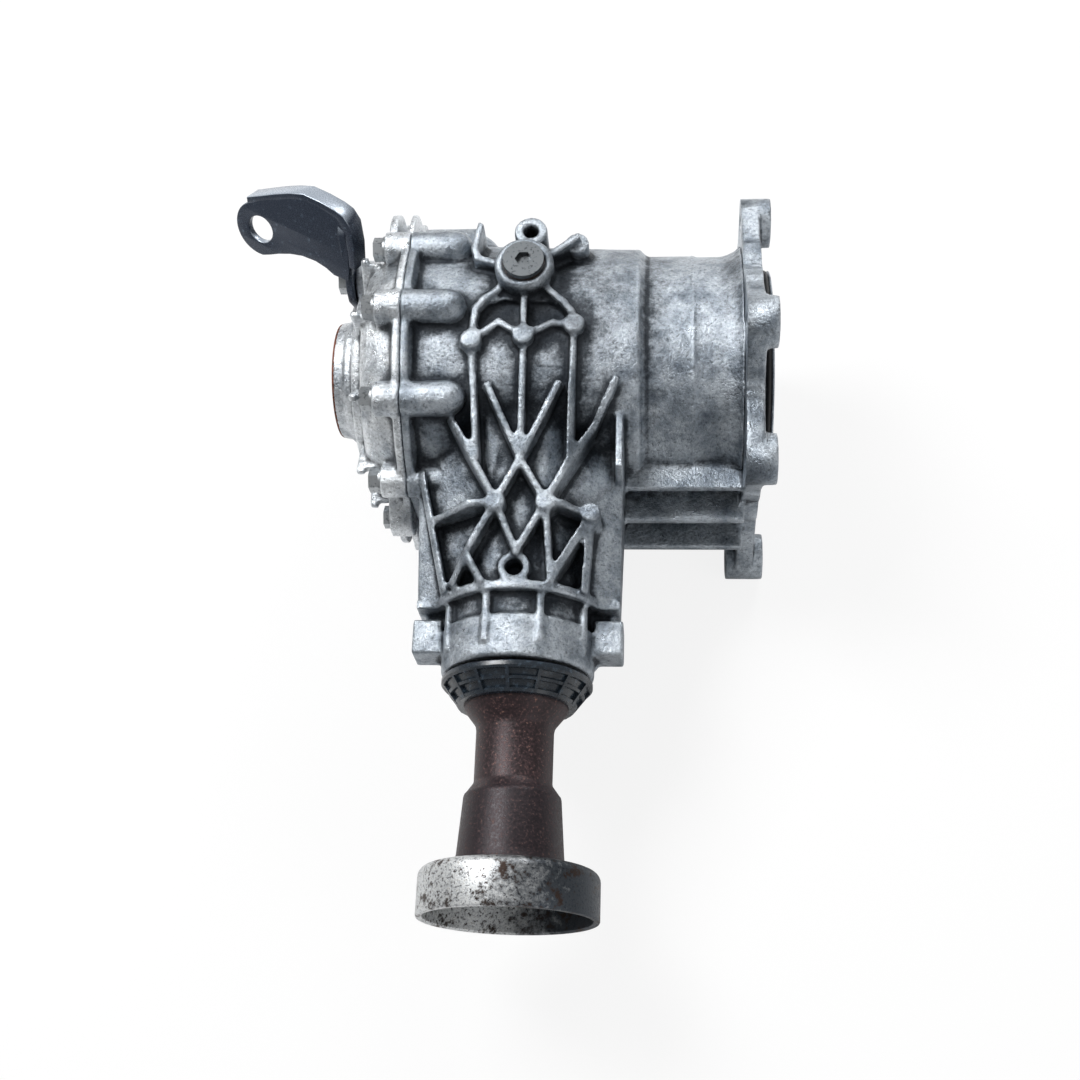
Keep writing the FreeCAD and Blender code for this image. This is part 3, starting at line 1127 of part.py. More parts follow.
class BevelGear:
    """A spiral bevel gear about its own Z axis, with its apex at the origin and its back towards +Z."""

    SLICES = 2
    FLANK_STEPS = 2

    def __init__(self, teeth, mate, shift, thickness_shift, hand):
        self.teeth = teeth
        self.module = d.module_size.value
        self.pitch_angle = math.atan2(teeth, mate)
        self.outer_radius = self.module * teeth / 2
        self.outer_cone = self.outer_radius / math.sin(self.pitch_angle)
        self.addendum = (0.92 + shift) * self.module
        self.dedendum = (1.16 - shift) * self.module
        self.thickness = (math.pi / 2 + thickness_shift) * self.module - d.tooth_backlash.value / 2
        self.hand = hand

    def place_on_cone(self, rise, half_width, scale, turn):
        """A point at a height over the pitch cone and a half width, in the flat section at a scale from the apex."""
        rise = rise * scale
        aside = half_width * scale
        radius = self.outer_radius * scale + rise * math.cos(self.pitch_angle)
        height = self.outer_cone * math.cos(self.pitch_angle) * scale - rise * math.sin(self.pitch_angle)
        return Vector(radius * math.cos(turn) - aside * math.sin(turn),
                      radius * math.sin(turn) + aside * math.cos(turn), height)

    def half_width(self, rise):
        """Half the tooth's width at a height, from the involute of the equal spur gear on the back cone."""
        pitch = self.outer_radius / math.cos(self.pitch_angle)
        pressure = math.radians(d.pressure_angle.value)
        base = pitch * math.cos(pressure)
        radius = max(pitch + rise, base)
        here = math.acos(min(1.0, base / radius))
        involute = (math.tan(pressure) - pressure) - (math.tan(here) - here)
        return (self.thickness / 2 / pitch + involute) * (pitch + rise)

    def section(self, scale, turn):
        """The closed outline of one tooth at a scale, its foot sunk a little under the root cone."""
        foot = -self.dedendum - 0.25 * self.module
        steps = [-self.dedendum + (self.dedendum + self.addendum) * index / self.FLANK_STEPS
                 for index in range(self.FLANK_STEPS + 1)]
        heights = [foot] + steps
        flank = [(height, self.half_width(max(height, -self.dedendum))) for height in heights]
        right = [self.place_on_cone(height, width, scale, turn) for height, width in flank]
        left = [self.place_on_cone(height, -width, scale, turn) for height, width in reversed(flank)]
        return Part.makePolygon(right + left + [right[0]])

    def tooth(self, phase):
        """One tooth, lofted through its sections while the spiral turns them."""
        inner = 1.0 - d.face_width.value / self.outer_cone
        mean = (1.0 + inner) / 2
        total = math.tan(math.radians(d.spiral_angle.value)) * d.face_width.value / (self.outer_radius * mean)
        sections = []
        for index in range(self.SLICES + 1):
            share = index / self.SLICES
            scale = inner + (1.0 - inner) * share
            sections.append(self.section(scale, phase + self.hand * total * (share - 0.5)))
        return Part.makeLoft(sections, True, True)

    def toothed(self, blank, first_angle):
        """The blank with all its teeth; first_angle is the middle of the first tooth."""
        pitch = 2 * math.pi / self.teeth
        teeth = [self.tooth(first_angle + index * pitch) for index in range(self.teeth)]
        return blank.multiFuse(teeth)

    def root(self, scale):
        """(radius, height) of the root cone at a scale."""
        point = self.place_on_cone(-self.dedendum, 0.0, scale, 0.0)
        return point.x, point.z


def turned_blank(corners):
    outline = Part.makePolygon([Vector(radius, 0, height) for radius, height in corners + corners[:1]])
    return Part.Face(outline).revolve(Vector(), Vector(0, 0, 1), 360)


def gear_pair():
    """The crown wheel on +X and the pinion on -Y, in mesh: a gap of the wheel faces a tooth of the pinion."""
    wheel_count = int(d.wheel_teeth.value)
    pinion_count = int(d.pinion_teeth.value)
    shift = d.long_addendum.value
    extra = 2 * shift * math.tan(math.radians(d.pressure_angle.value))
    inner = 1.0 - d.face_width.value / (d.module_size.value * math.hypot(wheel_count, pinion_count) / 2)
    wheel = BevelGear(wheel_count, pinion_count, -shift, -extra, 1.0)
    back = d.wheel_back.value
    pilot = d.wheel_pilot.value + d.fit_gap.value
    near = wheel.root(inner)
    far = wheel.root(1.0)
    blank = turned_blank([
        (pilot, near[1] + 3.0), (near[0] - 6.0, near[1] + 3.0), (near[0] - 1.0, near[1] + 0.3), near, far,
        (far[0] + 1.2, far[1] + 3.0), (far[0] - 3.0, back), (pilot, back)])
    holes = []
    for index in range(int(d.wheel_bolt_count.value)):
        angle = 2 * math.pi * (index + 0.5) / d.wheel_bolt_count.value
        spot = Vector(d.wheel_bolt_circle.value * math.cos(angle), d.wheel_bolt_circle.value * math.sin(angle),
                      back - 11.0)
        holes.append(Part.makeCylinder(d.bolt_radius.value + d.fit_gap.value, 12.0, spot))
    shape = wheel.toothed(blank.cut(holes), math.radians(90.0) + math.pi / wheel_count)
    crown_wheel = doc.addObject("Part::Feature", "crown_wheel")
    crown_wheel.Shape = shape
    crown_wheel.Placement = Placement(Vector(-d.axis_distance.value, 0, 0), CROWN_FRAME)

    pinion = BevelGear(pinion_count, wheel_count, shift, extra, -1.0)
    near = pinion.root(inner)
    far = pinion.root(1.0)
    head = d.head_near.value
    shoulder = head - 1.0
    ring = d.head_bore.value
    stem = d.stem_radius.value
    blank = turned_blank([
        (0.0, near[1]), near, far, (far[0] + 2.0, far[1] + 1.0), (ring + 5.0, shoulder), (ring + 5.0, head),
        (ring, head), (ring, head + d.head_width.value - 1.0), (stem, head + d.head_width.value - 0.5),
        (stem, d.tail_near.value), (d.tail_bore.value, d.tail_near.value),
        (d.tail_bore.value, d.tail_near.value + d.tail_width.value - 2.5),
        (d.stem_spline.value, d.tail_near.value + d.tail_width.value - 0.5),
        (d.stem_spline.value, d.nut_seat.value - 2.0), (d.stem_thread.value, d.nut_seat.value - 1.0),
        (d.stem_thread.value, d.stem_end.value - 1.5), (d.stem_thread.value - 1.5, d.stem_end.value),
        (0.0, d.stem_end.value)])
    shape = pinion.toothed(blank, 0.0)
    drive_pinion = doc.addObject("Part::Feature", "drive_pinion")
    drive_pinion.Shape = shape
    drive_pinion.Placement = Placement(Vector(-d.axis_distance.value, 0, 0), PINION_FRAME)
    return [crown_wheel, drive_pinion]


# Own Z axis to +X with own Y axis to -Y, and own Z axis to -Y with own X axis to +X
CROWN_FRAME = Rotation(Vector(0, 0, 1), Vector(0, -1, 0), Vector(1, 0, 0), "ZYX")
PINION_FRAME = Rotation(Vector(1, 0, 0), 90)


def input_shaft():
    bore = d.shaft_bore
    seat = d.shaft_radius
    left_near = -d.crown_left_near
    right_near = d.crown_right_near
    back = d.wheel_back
    flange_end = back + d.wheel_flange_thickness
    pilot = d.wheel_pilot
    body = lathe("shaft_body", [
        (bore, d.shaft_left), (seat - 1.0, d.shaft_left), (seat, d.shaft_left + 1.0), (seat, left_near),
        (pilot, left_near), (pilot, left_near + 6.0), (pilot - 2.0, left_near + 9.0), (pilot - 2.0, 12.0),
        (pilot, 14.0), (pilot, back), (d.wheel_flange_radius, back), (d.wheel_flange_radius, flange_end),
        (pilot + 2.0, flange_end), (pilot, flange_end + 2.0), (pilot, right_near), (seat, right_near),
        (seat, d.shaft_right - d.spline_length - 2.0), (d.spline_radius, d.shaft_right - d.spline_length),
        (d.spline_radius, d.shaft_right - 1.5), (d.spline_radius - 1.5, d.shaft_right), (bore, d.shaft_right)],
        (-d.axis_distance, 0, 0), ALONG_X)
    cuts = []
    count = int(d.spline_count.value)
    depth = 1.6
    for index in range(count):
        y, z = on_circle(d.spline_radius + 0.4, 360.0 * index / count + 0 * d.spline_radius)
        groove = cylinder(f"spline_groove_{index}", depth, d.spline_length + 1.0,
                          (across(d.shaft_right - d.spline_length), y, z), ALONG_X)
        cuts.append(groove)
    for index in range(int(d.wheel_bolt_count.value)):
        y, z = wheel_bolt_place(index)
        cuts.append(cylinder(f"flange_hole_{index}", d.bolt_radius + d.bolt_clearance,
                             d.wheel_flange_thickness + 2.0, (across(back - 1.0), y, z), ALONG_X))
    return cut("input_shaft", body, cuts)


def wheel_bolt_place(index):
    return on_circle(d.wheel_bolt_circle, (index + 0.5) * 360.0 / d.wheel_bolt_count)


def crown_wheel_bolts():
    bolts = []
    seat = d.wheel_back + d.wheel_flange_thickness
    for index in range(int(d.wheel_bolt_count.value)):
        y, z = wheel_bolt_place(index)
        shank = cylinder(f"wheel_bolt_shank_{index}", d.bolt_radius, d.wheel_flange_thickness + 10.0,
                         (across(seat - d.wheel_flange_thickness - 10.0), y, z), ALONG_X)
        head = hexagon(f"wheel_bolt_head_{index}", d.bolt_key, 5.0, (across(seat), y, z), ALONG_X)
        bolts.append(fuse(f"wheel_bolt_{index}", [shank, head]))
    return group("crown_wheel_bolts", bolts)


def pinion_spacer():
    start = d.head_near + d.head_width
    length = d.tail_near - start
    inside = d.stem_radius + 0.3
    outside = d.spacer_radius
    return lathe("pinion_spacer", [
        (inside, 0.0), (outside, 0.0), (outside, length * 0.35), (outside + 1.5, length * 0.5),
        (outside, length * 0.65), (outside, length), (inside, length)],
        (-d.axis_distance, -start, 0), ALONG_MINUS_Y)


def output_flange():
    """The output flange: splined hub, tube, foot cone and the cup for the propeller shaft's joint."""
    hub_start = d.tail_near + d.tail_width
    floor = d.cup_back + d.cup_floor
    bore = d.stem_spline + d.fit_gap
    body = lathe("flange_body", [
        (bore, hub_start), (d.hub_outer - 1.0, hub_start), (d.hub_outer, hub_start + 1.0),
        (d.hub_outer, d.nose_length + 3.0), (d.shield_seat - 4.0, d.shield_end - 5.0),
        (d.shield_seat, d.shield_end - 2.0), (d.shield_seat, d.shield_end + 1.0),
        (d.tube_radius + 0.8, d.tube_start - 1.0), (d.tube_radius, d.tube_start + 2.0),
        (d.tube_radius, d.tube_end), (d.cone_radius - 1.0, d.cone_start - 1.0), (d.cone_radius, d.cone_start),
        (d.foot_radius, d.cup_back - 6.0), (d.foot_radius, d.cup_back),
        (d.cup_radius - 2.0, d.cup_back), (d.cup_radius, d.cup_back + 2.0), (d.cup_radius, d.cup_end - 1.0),
        (d.cup_radius - 1.0, d.cup_end), (d.cup_bore + 1.0, d.cup_end), (d.cup_bore, d.cup_end - 1.0),
        (d.cup_bore, floor + 0.5), (d.cup_bore - 0.5, floor), (d.tube_bore, floor), (d.tube_bore, d.nut_seat),
        (bore, d.nut_seat)], (-d.axis_distance, 0, 0), ALONG_MINUS_Y)
    holes = []
    count = int(d.cup_bolt_count.value)
    for index in range(count):
        angle = index * 360.0 / d.cup_bolt_count + 30.0
        holes.append(cylinder(f"cup_hole_{index}", d.cup_bolt_hole, d.cup_floor + 4.0,
                              (-d.axis_distance + d.cup_bolt_circle * cosine(angle), 2.0 - d.cup_back,
                               d.cup_bolt_circle * sine(angle)), ALONG_MINUS_Y))
    return cut("output_flange", body, holes)


def dust_shield():
    """The ribbed plastic shield: a cone with a mouth ring, a middle ring, an end ring and radial ribs."""
    mouth = d.shield_mouth
    end = d.shield_end
    wall_in = d.shield_wall
    seat = d.shield_seat + d.fit_gap
    slope_end = end - 1.5
    shell = lathe("shield_shell", [
        (d.shield_radius - wall_in - 1.0, mouth), (d.shield_radius - 0.6, mouth), (d.shield_radius, mouth + 0.6),
        (d.shield_radius, mouth + 3.0), (seat + 3.6, slope_end), (seat + 3.6, end), (seat, end),
        (seat, end - 3.4), (d.shield_radius - wall_in - 1.0, mouth + 3.0)],
        (-d.axis_distance, 0, 0), ALONG_MINUS_Y)
    run = slope_end - mouth - 3.0
    fall = d.shield_radius - seat - 3.6
    pockets = []
    for low, high in ((0.10, 0.50), (0.60, 0.93)):
        corners = []
        for share, lift in ((low, -0.9), (low, 3.0), (high, 3.0), (high, -0.9)):
            corners.append((d.shield_radius - share * fall + lift, mouth + 3.0 + share * run))
        pockets.append(lathe(f"shield_pocket_{int(low * 100)}", corners, (-d.axis_distance, 0, 0), ALONG_MINUS_Y))
    ribs = []
    count = int(d.shield_ribs.value)
    for index in range(count):
        turn = Rotation(Vector(0, 1, 0), index * 360.0 / count)
        rib = box(f"shield_rib_{index}", 1.6, end - mouth, d.shield_radius, (-d.axis_distance, -end, 0), UP)
        rib.Placement = Placement(rib.Placement.Base, turn)
        shift = turn.multVec(Vector(-0.8, 0, 0))
        rib.setExpression("Placement.Base.x", (-d.axis_distance + shift.x).text)
        rib.setExpression("Placement.Base.z", repr(shift.z))
        ribs.append(rib)
    hollow = cut("shield_hollows", fuse("shield_pockets", pockets), ribs)
    return cut("dust_shield", shell, [hollow])


def pinion_nut():
    nut = hexagon("nut_body", d.nut_key, d.nut_height, (-d.axis_distance, -d.nut_seat, 0), ALONG_MINUS_Y)
    bore = cylinder("nut_bore", d.stem_thread + d.fit_gap, d.nut_height + 2.0,
                    (-d.axis_distance, 1.0 - d.nut_seat, 0), ALONG_MINUS_Y)
    return cut("pinion_nut", nut, [bore])


def build():
    """Every node of the part, by its name."""
    nodes = [main_housing(), side_cover(), cover_bolts(), support_bracket(), bracket_bolts()]
    nodes += plugs() + seals() + [locating_dowels()] + shims()
    for bearing in bearings():
        nodes += [bearing.cup(), bearing.inner_ring(), bearing.rollers(), bearing.cage()]
    nodes += gear_pair() + [input_shaft(), crown_wheel_bolts(), pinion_spacer(), output_flange(),
                            dust_shield(), pinion_nut()]
    return nodes


def export(nodes):
    """Recompute, stop on any failed object or bad shape, and write one file for each node."""
    doc.recompute()
    for item in doc.Objects:
        if "Invalid" in item.State or "Error" in item.State:
            raise RuntimeError(f"{item.Name} failed: {item.State}")
    os.makedirs("parts", exist_ok=True)
    for item in nodes:
        shape = item.Shape
        if shape.isNull() or not shape.isValid():
            raise RuntimeError(f"{item.Label} has a bad shape")
        print(f"{item.Label}: {len(shape.Solids)} solid(s), {shape.Volume / 1000:.1f} cm3")
        shape.exportStep(os.path.join("parts", item.Label + ".step"))


export(build())
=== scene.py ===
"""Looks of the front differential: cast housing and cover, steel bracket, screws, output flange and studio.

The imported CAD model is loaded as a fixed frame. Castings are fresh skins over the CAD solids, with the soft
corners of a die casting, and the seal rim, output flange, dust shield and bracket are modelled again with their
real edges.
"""

from __future__ import annotations

import json
import logging
import math
from dataclasses import dataclass
from enum import Enum
from typing import Callable, Sequence

import bmesh
import bpy
import numpy as np
from mathutils import Matrix, Vector

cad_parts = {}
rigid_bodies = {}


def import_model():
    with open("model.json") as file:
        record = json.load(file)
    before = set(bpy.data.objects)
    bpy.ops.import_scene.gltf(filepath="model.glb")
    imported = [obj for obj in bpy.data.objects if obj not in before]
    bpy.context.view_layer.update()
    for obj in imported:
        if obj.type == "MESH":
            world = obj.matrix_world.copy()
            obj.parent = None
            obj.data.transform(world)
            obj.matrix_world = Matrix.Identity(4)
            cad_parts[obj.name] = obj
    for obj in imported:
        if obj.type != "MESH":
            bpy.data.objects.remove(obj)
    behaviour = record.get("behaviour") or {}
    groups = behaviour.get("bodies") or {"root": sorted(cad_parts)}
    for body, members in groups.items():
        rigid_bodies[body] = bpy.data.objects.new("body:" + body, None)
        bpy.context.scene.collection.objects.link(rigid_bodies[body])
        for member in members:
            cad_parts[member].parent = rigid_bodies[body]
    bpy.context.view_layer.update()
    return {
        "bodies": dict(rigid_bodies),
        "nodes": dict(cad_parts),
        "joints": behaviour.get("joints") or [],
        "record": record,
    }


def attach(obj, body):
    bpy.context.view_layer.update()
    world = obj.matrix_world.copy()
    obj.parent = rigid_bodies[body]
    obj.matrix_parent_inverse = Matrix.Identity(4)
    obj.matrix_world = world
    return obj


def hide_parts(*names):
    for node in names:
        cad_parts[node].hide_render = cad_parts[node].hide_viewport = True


LOG = logging.getLogger("front_differential")
# Metres in a millimetre.
MM = 0.001
# Where the output axis crosses the input axis, which is the X axis.
PINION_X = -0.150
# The lowest lug of the gearbox flange stands here.
FLOOR_LEVEL = -0.105


class Axis(Enum):
    """The directions that turned pieces point along."""

    X = (1, 0, 0)
    MINUS_Y = (0, -1, 0)
    Z = (0, 0, 1)
    MINUS_Z = (0, 0, -1)

    def turn(self) -> Matrix:
        """The rotation that lays a piece's own Z axis along this direction."""
        return Vector(self.value).to_track_quat("Z", "Y").to_matrix().to_4x4()


def linear(code: str) -> tuple[float, float, float, float]:
    """Turn an sRGB hex colour into linear light.

    Args:
        code: a colour such as "8a8f94".

    Returns:
        Red, green, blue and alpha for a node socket.
    """
    parts = [int(code[start:start + 2], 16) / 255 for start in (0, 2, 4)]
    light = [part / 12.92 if part <= 0.04045 else ((part + 0.055) / 1.055) ** 2.4 for part in parts]
    return light[0], light[1], light[2], 1.0


def add_node(tree: bpy.types.NodeTree, kind: str, settings: dict | None = None,
             links: dict | None = None) -> bpy.types.Node:
    """Add a node, set its properties and sockets, and link its inputs.

    Args:
        tree: the node tree.
        kind: the node's type name.
        settings: values by property or input name.
        links: (node, output name) or a socket by input name.

    Returns:
        The new node.
    """
    node = tree.nodes.new(kind)
    for name, value in (settings or {}).items():
        if isinstance(name, int) or name in node.inputs:
            node.inputs[name].default_value = value
        else:
            setattr(node, name, value)
    for name, source in (links or {}).items():
        output = source[0].outputs[source[1]] if isinstance(source, tuple) else source
        tree.links.new(output, node.inputs[name])
    return node


def set_ramp(node: bpy.types.Node, stops: Sequence[tuple[float, str | float]]) -> bpy.types.Node:
    """Give a colour ramp its stops; a number is a grey level in linear light.

    Args:
        node: the ramp node.
        stops: (place, colour) pairs.

    Returns:
        The same node.
    """
    ramp = node.color_ramp
    while len(ramp.elements) > 1:
        ramp.elements.remove(ramp.elements[-1])
    for index, (place, colour) in enumerate(stops):
        element = ramp.elements[0] if index == 0 else ramp.elements.new(place)
        element.position = place
        element.color = linear(colour) if isinstance(colour, str) else (colour, colour, colour, 1.0)
    return node


def blank_material(name: str) -> tuple[bpy.types.Material, bpy.types.NodeTree, bpy.types.Node]:
    """Start a material.

    Args:
        name: its name.

    Returns:
        The material, its node tree and its Principled shader.
    """
    material = bpy.data.materials.new(name)
    material.use_nodes = True
    return material, material.node_tree, material.node_tree.nodes["Principled BSDF"]


@dataclass(frozen=True)
class CastAluminium:
    """Die-cast aluminium after years under a car: grey and pitted, with dirt and painted shade in its hollows,
    and edges lighter from wear and a painted highlight.

    The oxide shows as clouds of about 20 mm, the dirt as a torn film of about 6 mm, and the cast skin as pits of
    2 mm, drawn coarser than the real 0.5 mm so that they show. A placed patch is (middle, reach, how much darker
    it makes the skin), and lighter where that amount is below zero.
    """

    name: str
    bright: str
    dull: str
    stain: str
    # This colour fills the hollows: dirt there and painted shade.
    grime_and_shade: str
    grime_and_shade_share: float
    roughness: float = 0.46
    metallic: float = 0.94
    cloud_mm: float = 22.0
    film_mm: float = 6.0
    film_gain: float = 1.5
    film_level: float = -0.78
    dirt_and_shade_starts: float = 0.18
    dirt_and_shade_full: float = 0.98
    # Colour and patchy share of the wear and painted highlight on sharp edges.
    rubbed_edge_and_highlight: str = "ccd2d8"
    rubbed_and_highlight_least: float = 0.05
    rubbed_and_highlight_most: float = 0.38
    gloss_swing: float = 0.16
    dirt_and_shade_dulls: float = 0.25
    pit_mm: float = 1.8
    pit_relief_mm: float = 0.8
    grain_mm: float = 0.7
    grain_relief_mm: float = 0.25
    # Darker patches round given points, and a lighter one where the amount is below zero.
    placed_patches: tuple[tuple[tuple[float, float, float], float, float], ...] = (
        ((-0.119, 0.006, 0.085), 0.074, 0.62), ((-0.050, -0.088, 0.020), 0.070, -0.40),
        ((-0.150, -0.172, 0.040), 0.045, 0.22), ((-0.196, 0.000, 0.075), 0.045, 0.22))

    def make(self) -> bpy.types.Material:
        """Build the material from Object coordinates and the skin's attributes for its hollows and its edges.

        Returns:
            The new material.
        """
        material, tree, shader = blank_material(self.name)
        place = add_node(tree, "ShaderNodeTexCoord")
        where = (place, "Object")
        clouds = add_node(tree, "ShaderNodeTexNoise",
                          {"Scale": 1 / (self.cloud_mm * MM), "Detail": 6.0, "Roughness": 0.62}, {"Vector": where})
        base = set_ramp(add_node(tree, "ShaderNodeValToRGB", None, {"Fac": (clouds, "Fac")}),
                        [(0.30, self.stain), (0.44, self.dull), (0.58, self.bright), (0.75, self.dull)])
        pits = add_node(tree, "ShaderNodeTexNoise",
                        {"Scale": 1 / (self.pit_mm * MM), "Detail": 4.0, "Roughness": 0.7}, {"Vector": where})
        speck = set_ramp(add_node(tree, "ShaderNodeValToRGB", None, {"Fac": (pits, "Fac")}),
                         [(0.31, 0.38), (0.40, 0.76), (0.48, 0.97), (0.58, 1.06), (0.68, 1.34)])
        mottled = add_node(tree, "ShaderNodeMix", {"data_type": "RGBA", "blend_type": "MULTIPLY", 0: 1.0})
        tree.links.new(base.outputs["Color"], mottled.inputs[6])
        tree.links.new(speck.outputs["Color"], mottled.inputs[7])
        hollow = add_node(tree, "ShaderNodeAttribute", {"attribute_name": "hollow"})
        edge_wear_and_highlight = add_node(tree, "ShaderNodeAttribute", {"attribute_name": "edge_wear_and_highlight"})
        film = add_node(tree, "ShaderNodeTexNoise",
                        {"Scale": 1 / (self.film_mm * MM), "Detail": 7.0, "Roughness": 0.72}, {"Vector": where})
        uneven = add_node(tree, "ShaderNodeMath",
                          {"operation": "MULTIPLY_ADD", 1: self.film_gain, 2: self.film_level}, {0: (film, "Fac")})
        depth = add_node(tree, "ShaderNodeMath", {"operation": "ADD"},
                         {0: (hollow, "Fac"), 1: (uneven, "Value")})
        # Placed patches: darker round their middles, lighter round the one with an amount below zero.
        for middle, reach, amount in self.placed_patches:
            away = add_node(tree, "ShaderNodeVectorMath", {"operation": "DISTANCE", 1: middle}, {0: where})
            patch_darkening = add_node(tree, "ShaderNodeMapRange",
                            {"From Min": 0.2 * reach, "From Max": reach, "To Min": amount, "To Max": 0.0,
                             "interpolation_type": "SMOOTHSTEP"}, {"Value": (away, "Value")})
            depth = add_node(tree, "ShaderNodeMath", {"operation": "ADD"},
                             {0: (depth, "Value"), 1: (patch_darkening, "Result")})
        # Dirt and painted shade: hollows, the torn film and the placed patches darken the skin towards the grime
        # colour.
        dirt_and_shade = add_node(tree, "ShaderNodeMapRange",
                        {"From Min": self.dirt_and_shade_starts, "From Max": self.dirt_and_shade_full, "To Min": 0.0,
                         "To Max": self.grime_and_shade_share, "interpolation_type": "SMOOTHSTEP"},
                        {"Value": (depth, "Value")})
        dirty_and_shaded = add_node(tree, "ShaderNodeMix", {"data_type": "RGBA", 7: linear(self.grime_and_shade)},
                         {0: (dirt_and_shade, "Result")})
        tree.links.new(mottled.outputs[2], dirty_and_shaded.inputs[6])
        # Sharp outer edges lighten in patches: rubbed wear and a painted highlight.
        patchy = add_node(tree, "ShaderNodeMapRange",
                          {"From Min": 0.42, "From Max": 0.62, "To Min": self.rubbed_and_highlight_least,
                           "To Max": self.rubbed_and_highlight_most}, {"Value": (film, "Fac")})
        edge = add_node(tree, "ShaderNodeMath", {"operation": "MULTIPLY"},
                        {0: (edge_wear_and_highlight, "Fac"), 1: (patchy, "Result")})
        rubbed_and_highlit = add_node(tree, "ShaderNodeMix", {"data_type": "RGBA", 7: linear(self.rubbed_edge_and_highlight)},
                          {0: (edge, "Value")})
        tree.links.new(dirty_and_shaded.outputs[2], rubbed_and_highlit.inputs[6])
        tree.links.new(rubbed_and_highlit.outputs[2], shader.inputs["Base Color"])
        shader.inputs["Metallic"].default_value = self.metallic
        rough = add_node(tree, "ShaderNodeMapRange",
                         {"From Min": 0.3, "From Max": 0.7, "To Min": self.roughness + self.gloss_swing,
                          "To Max": self.roughness - self.gloss_swing}, {"Value": (film, "Fac")})
        rougher = add_node(tree, "ShaderNodeMath", {"operation": "MULTIPLY_ADD", 1: self.dirt_and_shade_dulls},
                           {0: (dirt_and_shade, "Result"), 2: (rough, "Result")})
        tree.links.new(rougher.outputs["Value"], shader.inputs["Roughness"])
        grain = add_node(tree, "ShaderNodeTexNoise",
                         {"Scale": 1 / (self.grain_mm * MM), "Detail": 3.0, "Roughness": 0.6}, {"Vector": where})
        coarse = add_node(tree, "ShaderNodeBump", {"Strength": 0.8, "Distance": self.pit_relief_mm * MM},
                          {"Height": (pits, "Fac")})
        fine = add_node(tree, "ShaderNodeBump", {"Strength": 0.35, "Distance": self.grain_relief_mm * MM},
                        {"Height": (grain, "Fac"), "Normal": (coarse, "Normal")})
        tree.links.new(fine.outputs["Normal"], shader.inputs["Normal"])
        return material


@dataclass(frozen=True)
class PlainMetal:
    """Machined, plated, painted or moulded surfaces: one colour with small spots and a little grit.

    Faces that look up may be painted paler: a painted reflection of the sky, as painted sheet shows.
    """

    name: str
    colour: str
    spots: str
    spot_share: float
    spot_mm: float
    metallic: float
    roughness: float
    bump: float = 0.25
    grain_mm: float = 0.6
    grit_relief_mm: float = 0.2
    sky_sheen: str | None = None

    def make(self) -> bpy.types.Material:
        """Build the material from Object coordinates.

        Returns:
            The new material.
        """
        material, tree, shader = blank_material(self.name)
        place = add_node(tree, "ShaderNodeTexCoord")
        where = (place, "Object")
        spots = add_node(tree, "ShaderNodeTexNoise",
                         {"Scale": 1 / (self.spot_mm * MM), "Detail": 5.0, "Roughness": 0.65}, {"Vector": where})
        cover = add_node(tree, "ShaderNodeMapRange",
                         {"From Min": 0.66 - 0.30 * self.spot_share, "From Max": 0.74 - 0.26 * self.spot_share,
                          "To Min": 0.0, "To Max": 1.0, "interpolation_type": "SMOOTHSTEP"},
                         {"Value": (spots, "Fac")})
        mixed = add_node(tree, "ShaderNodeMix",
                         {"data_type": "RGBA", 6: linear(self.colour), 7: linear(self.spots)},
                         {0: (cover, "Result")})
        colour = mixed.outputs[2]
        # Painted reflection: faces whose normal points up turn paler.
        if self.sky_sheen:
            facing = add_node(tree, "ShaderNodeSeparateXYZ", None, {"Vector": (place, "Normal")})
            lit = add_node(tree, "ShaderNodeMapRange",
                           {"From Min": 0.62, "From Max": 0.86, "To Min": 0.0, "To Max": 0.9},
                           {"Value": (facing, "Z")})
            painted_sheen = add_node(tree, "ShaderNodeMix", {"data_type": "RGBA", 7: linear(self.sky_sheen)},
                             {0: (lit, "Result"), 6: colour})
            colour = painted_sheen.outputs[2]
        tree.links.new(colour, shader.inputs["Base Color"])
        shader.inputs["Metallic"].default_value = self.metallic
        grain = add_node(tree, "ShaderNodeTexNoise",
                         {"Scale": 1 / (self.grain_mm * MM), "Detail": 3.0, "Roughness": 0.6}, {"Vector": where})
        rough = add_node(tree, "ShaderNodeMapRange",
                         {"From Min": 0.3, "From Max": 0.7, "To Min": self.roughness - 0.07,
                          "To Max": self.roughness + 0.1}, {"Value": (grain, "Fac")})
        tree.links.new(rough.outputs["Result"], shader.inputs["Roughness"])
        bump = add_node(tree, "ShaderNodeBump", {"Strength": self.bump, "Distance": self.grit_relief_mm * MM},
                        {"Height": (grain, "Fac")})
        tree.links.new(bump.outputs["Normal"], shader.inputs["Normal"])
        return material


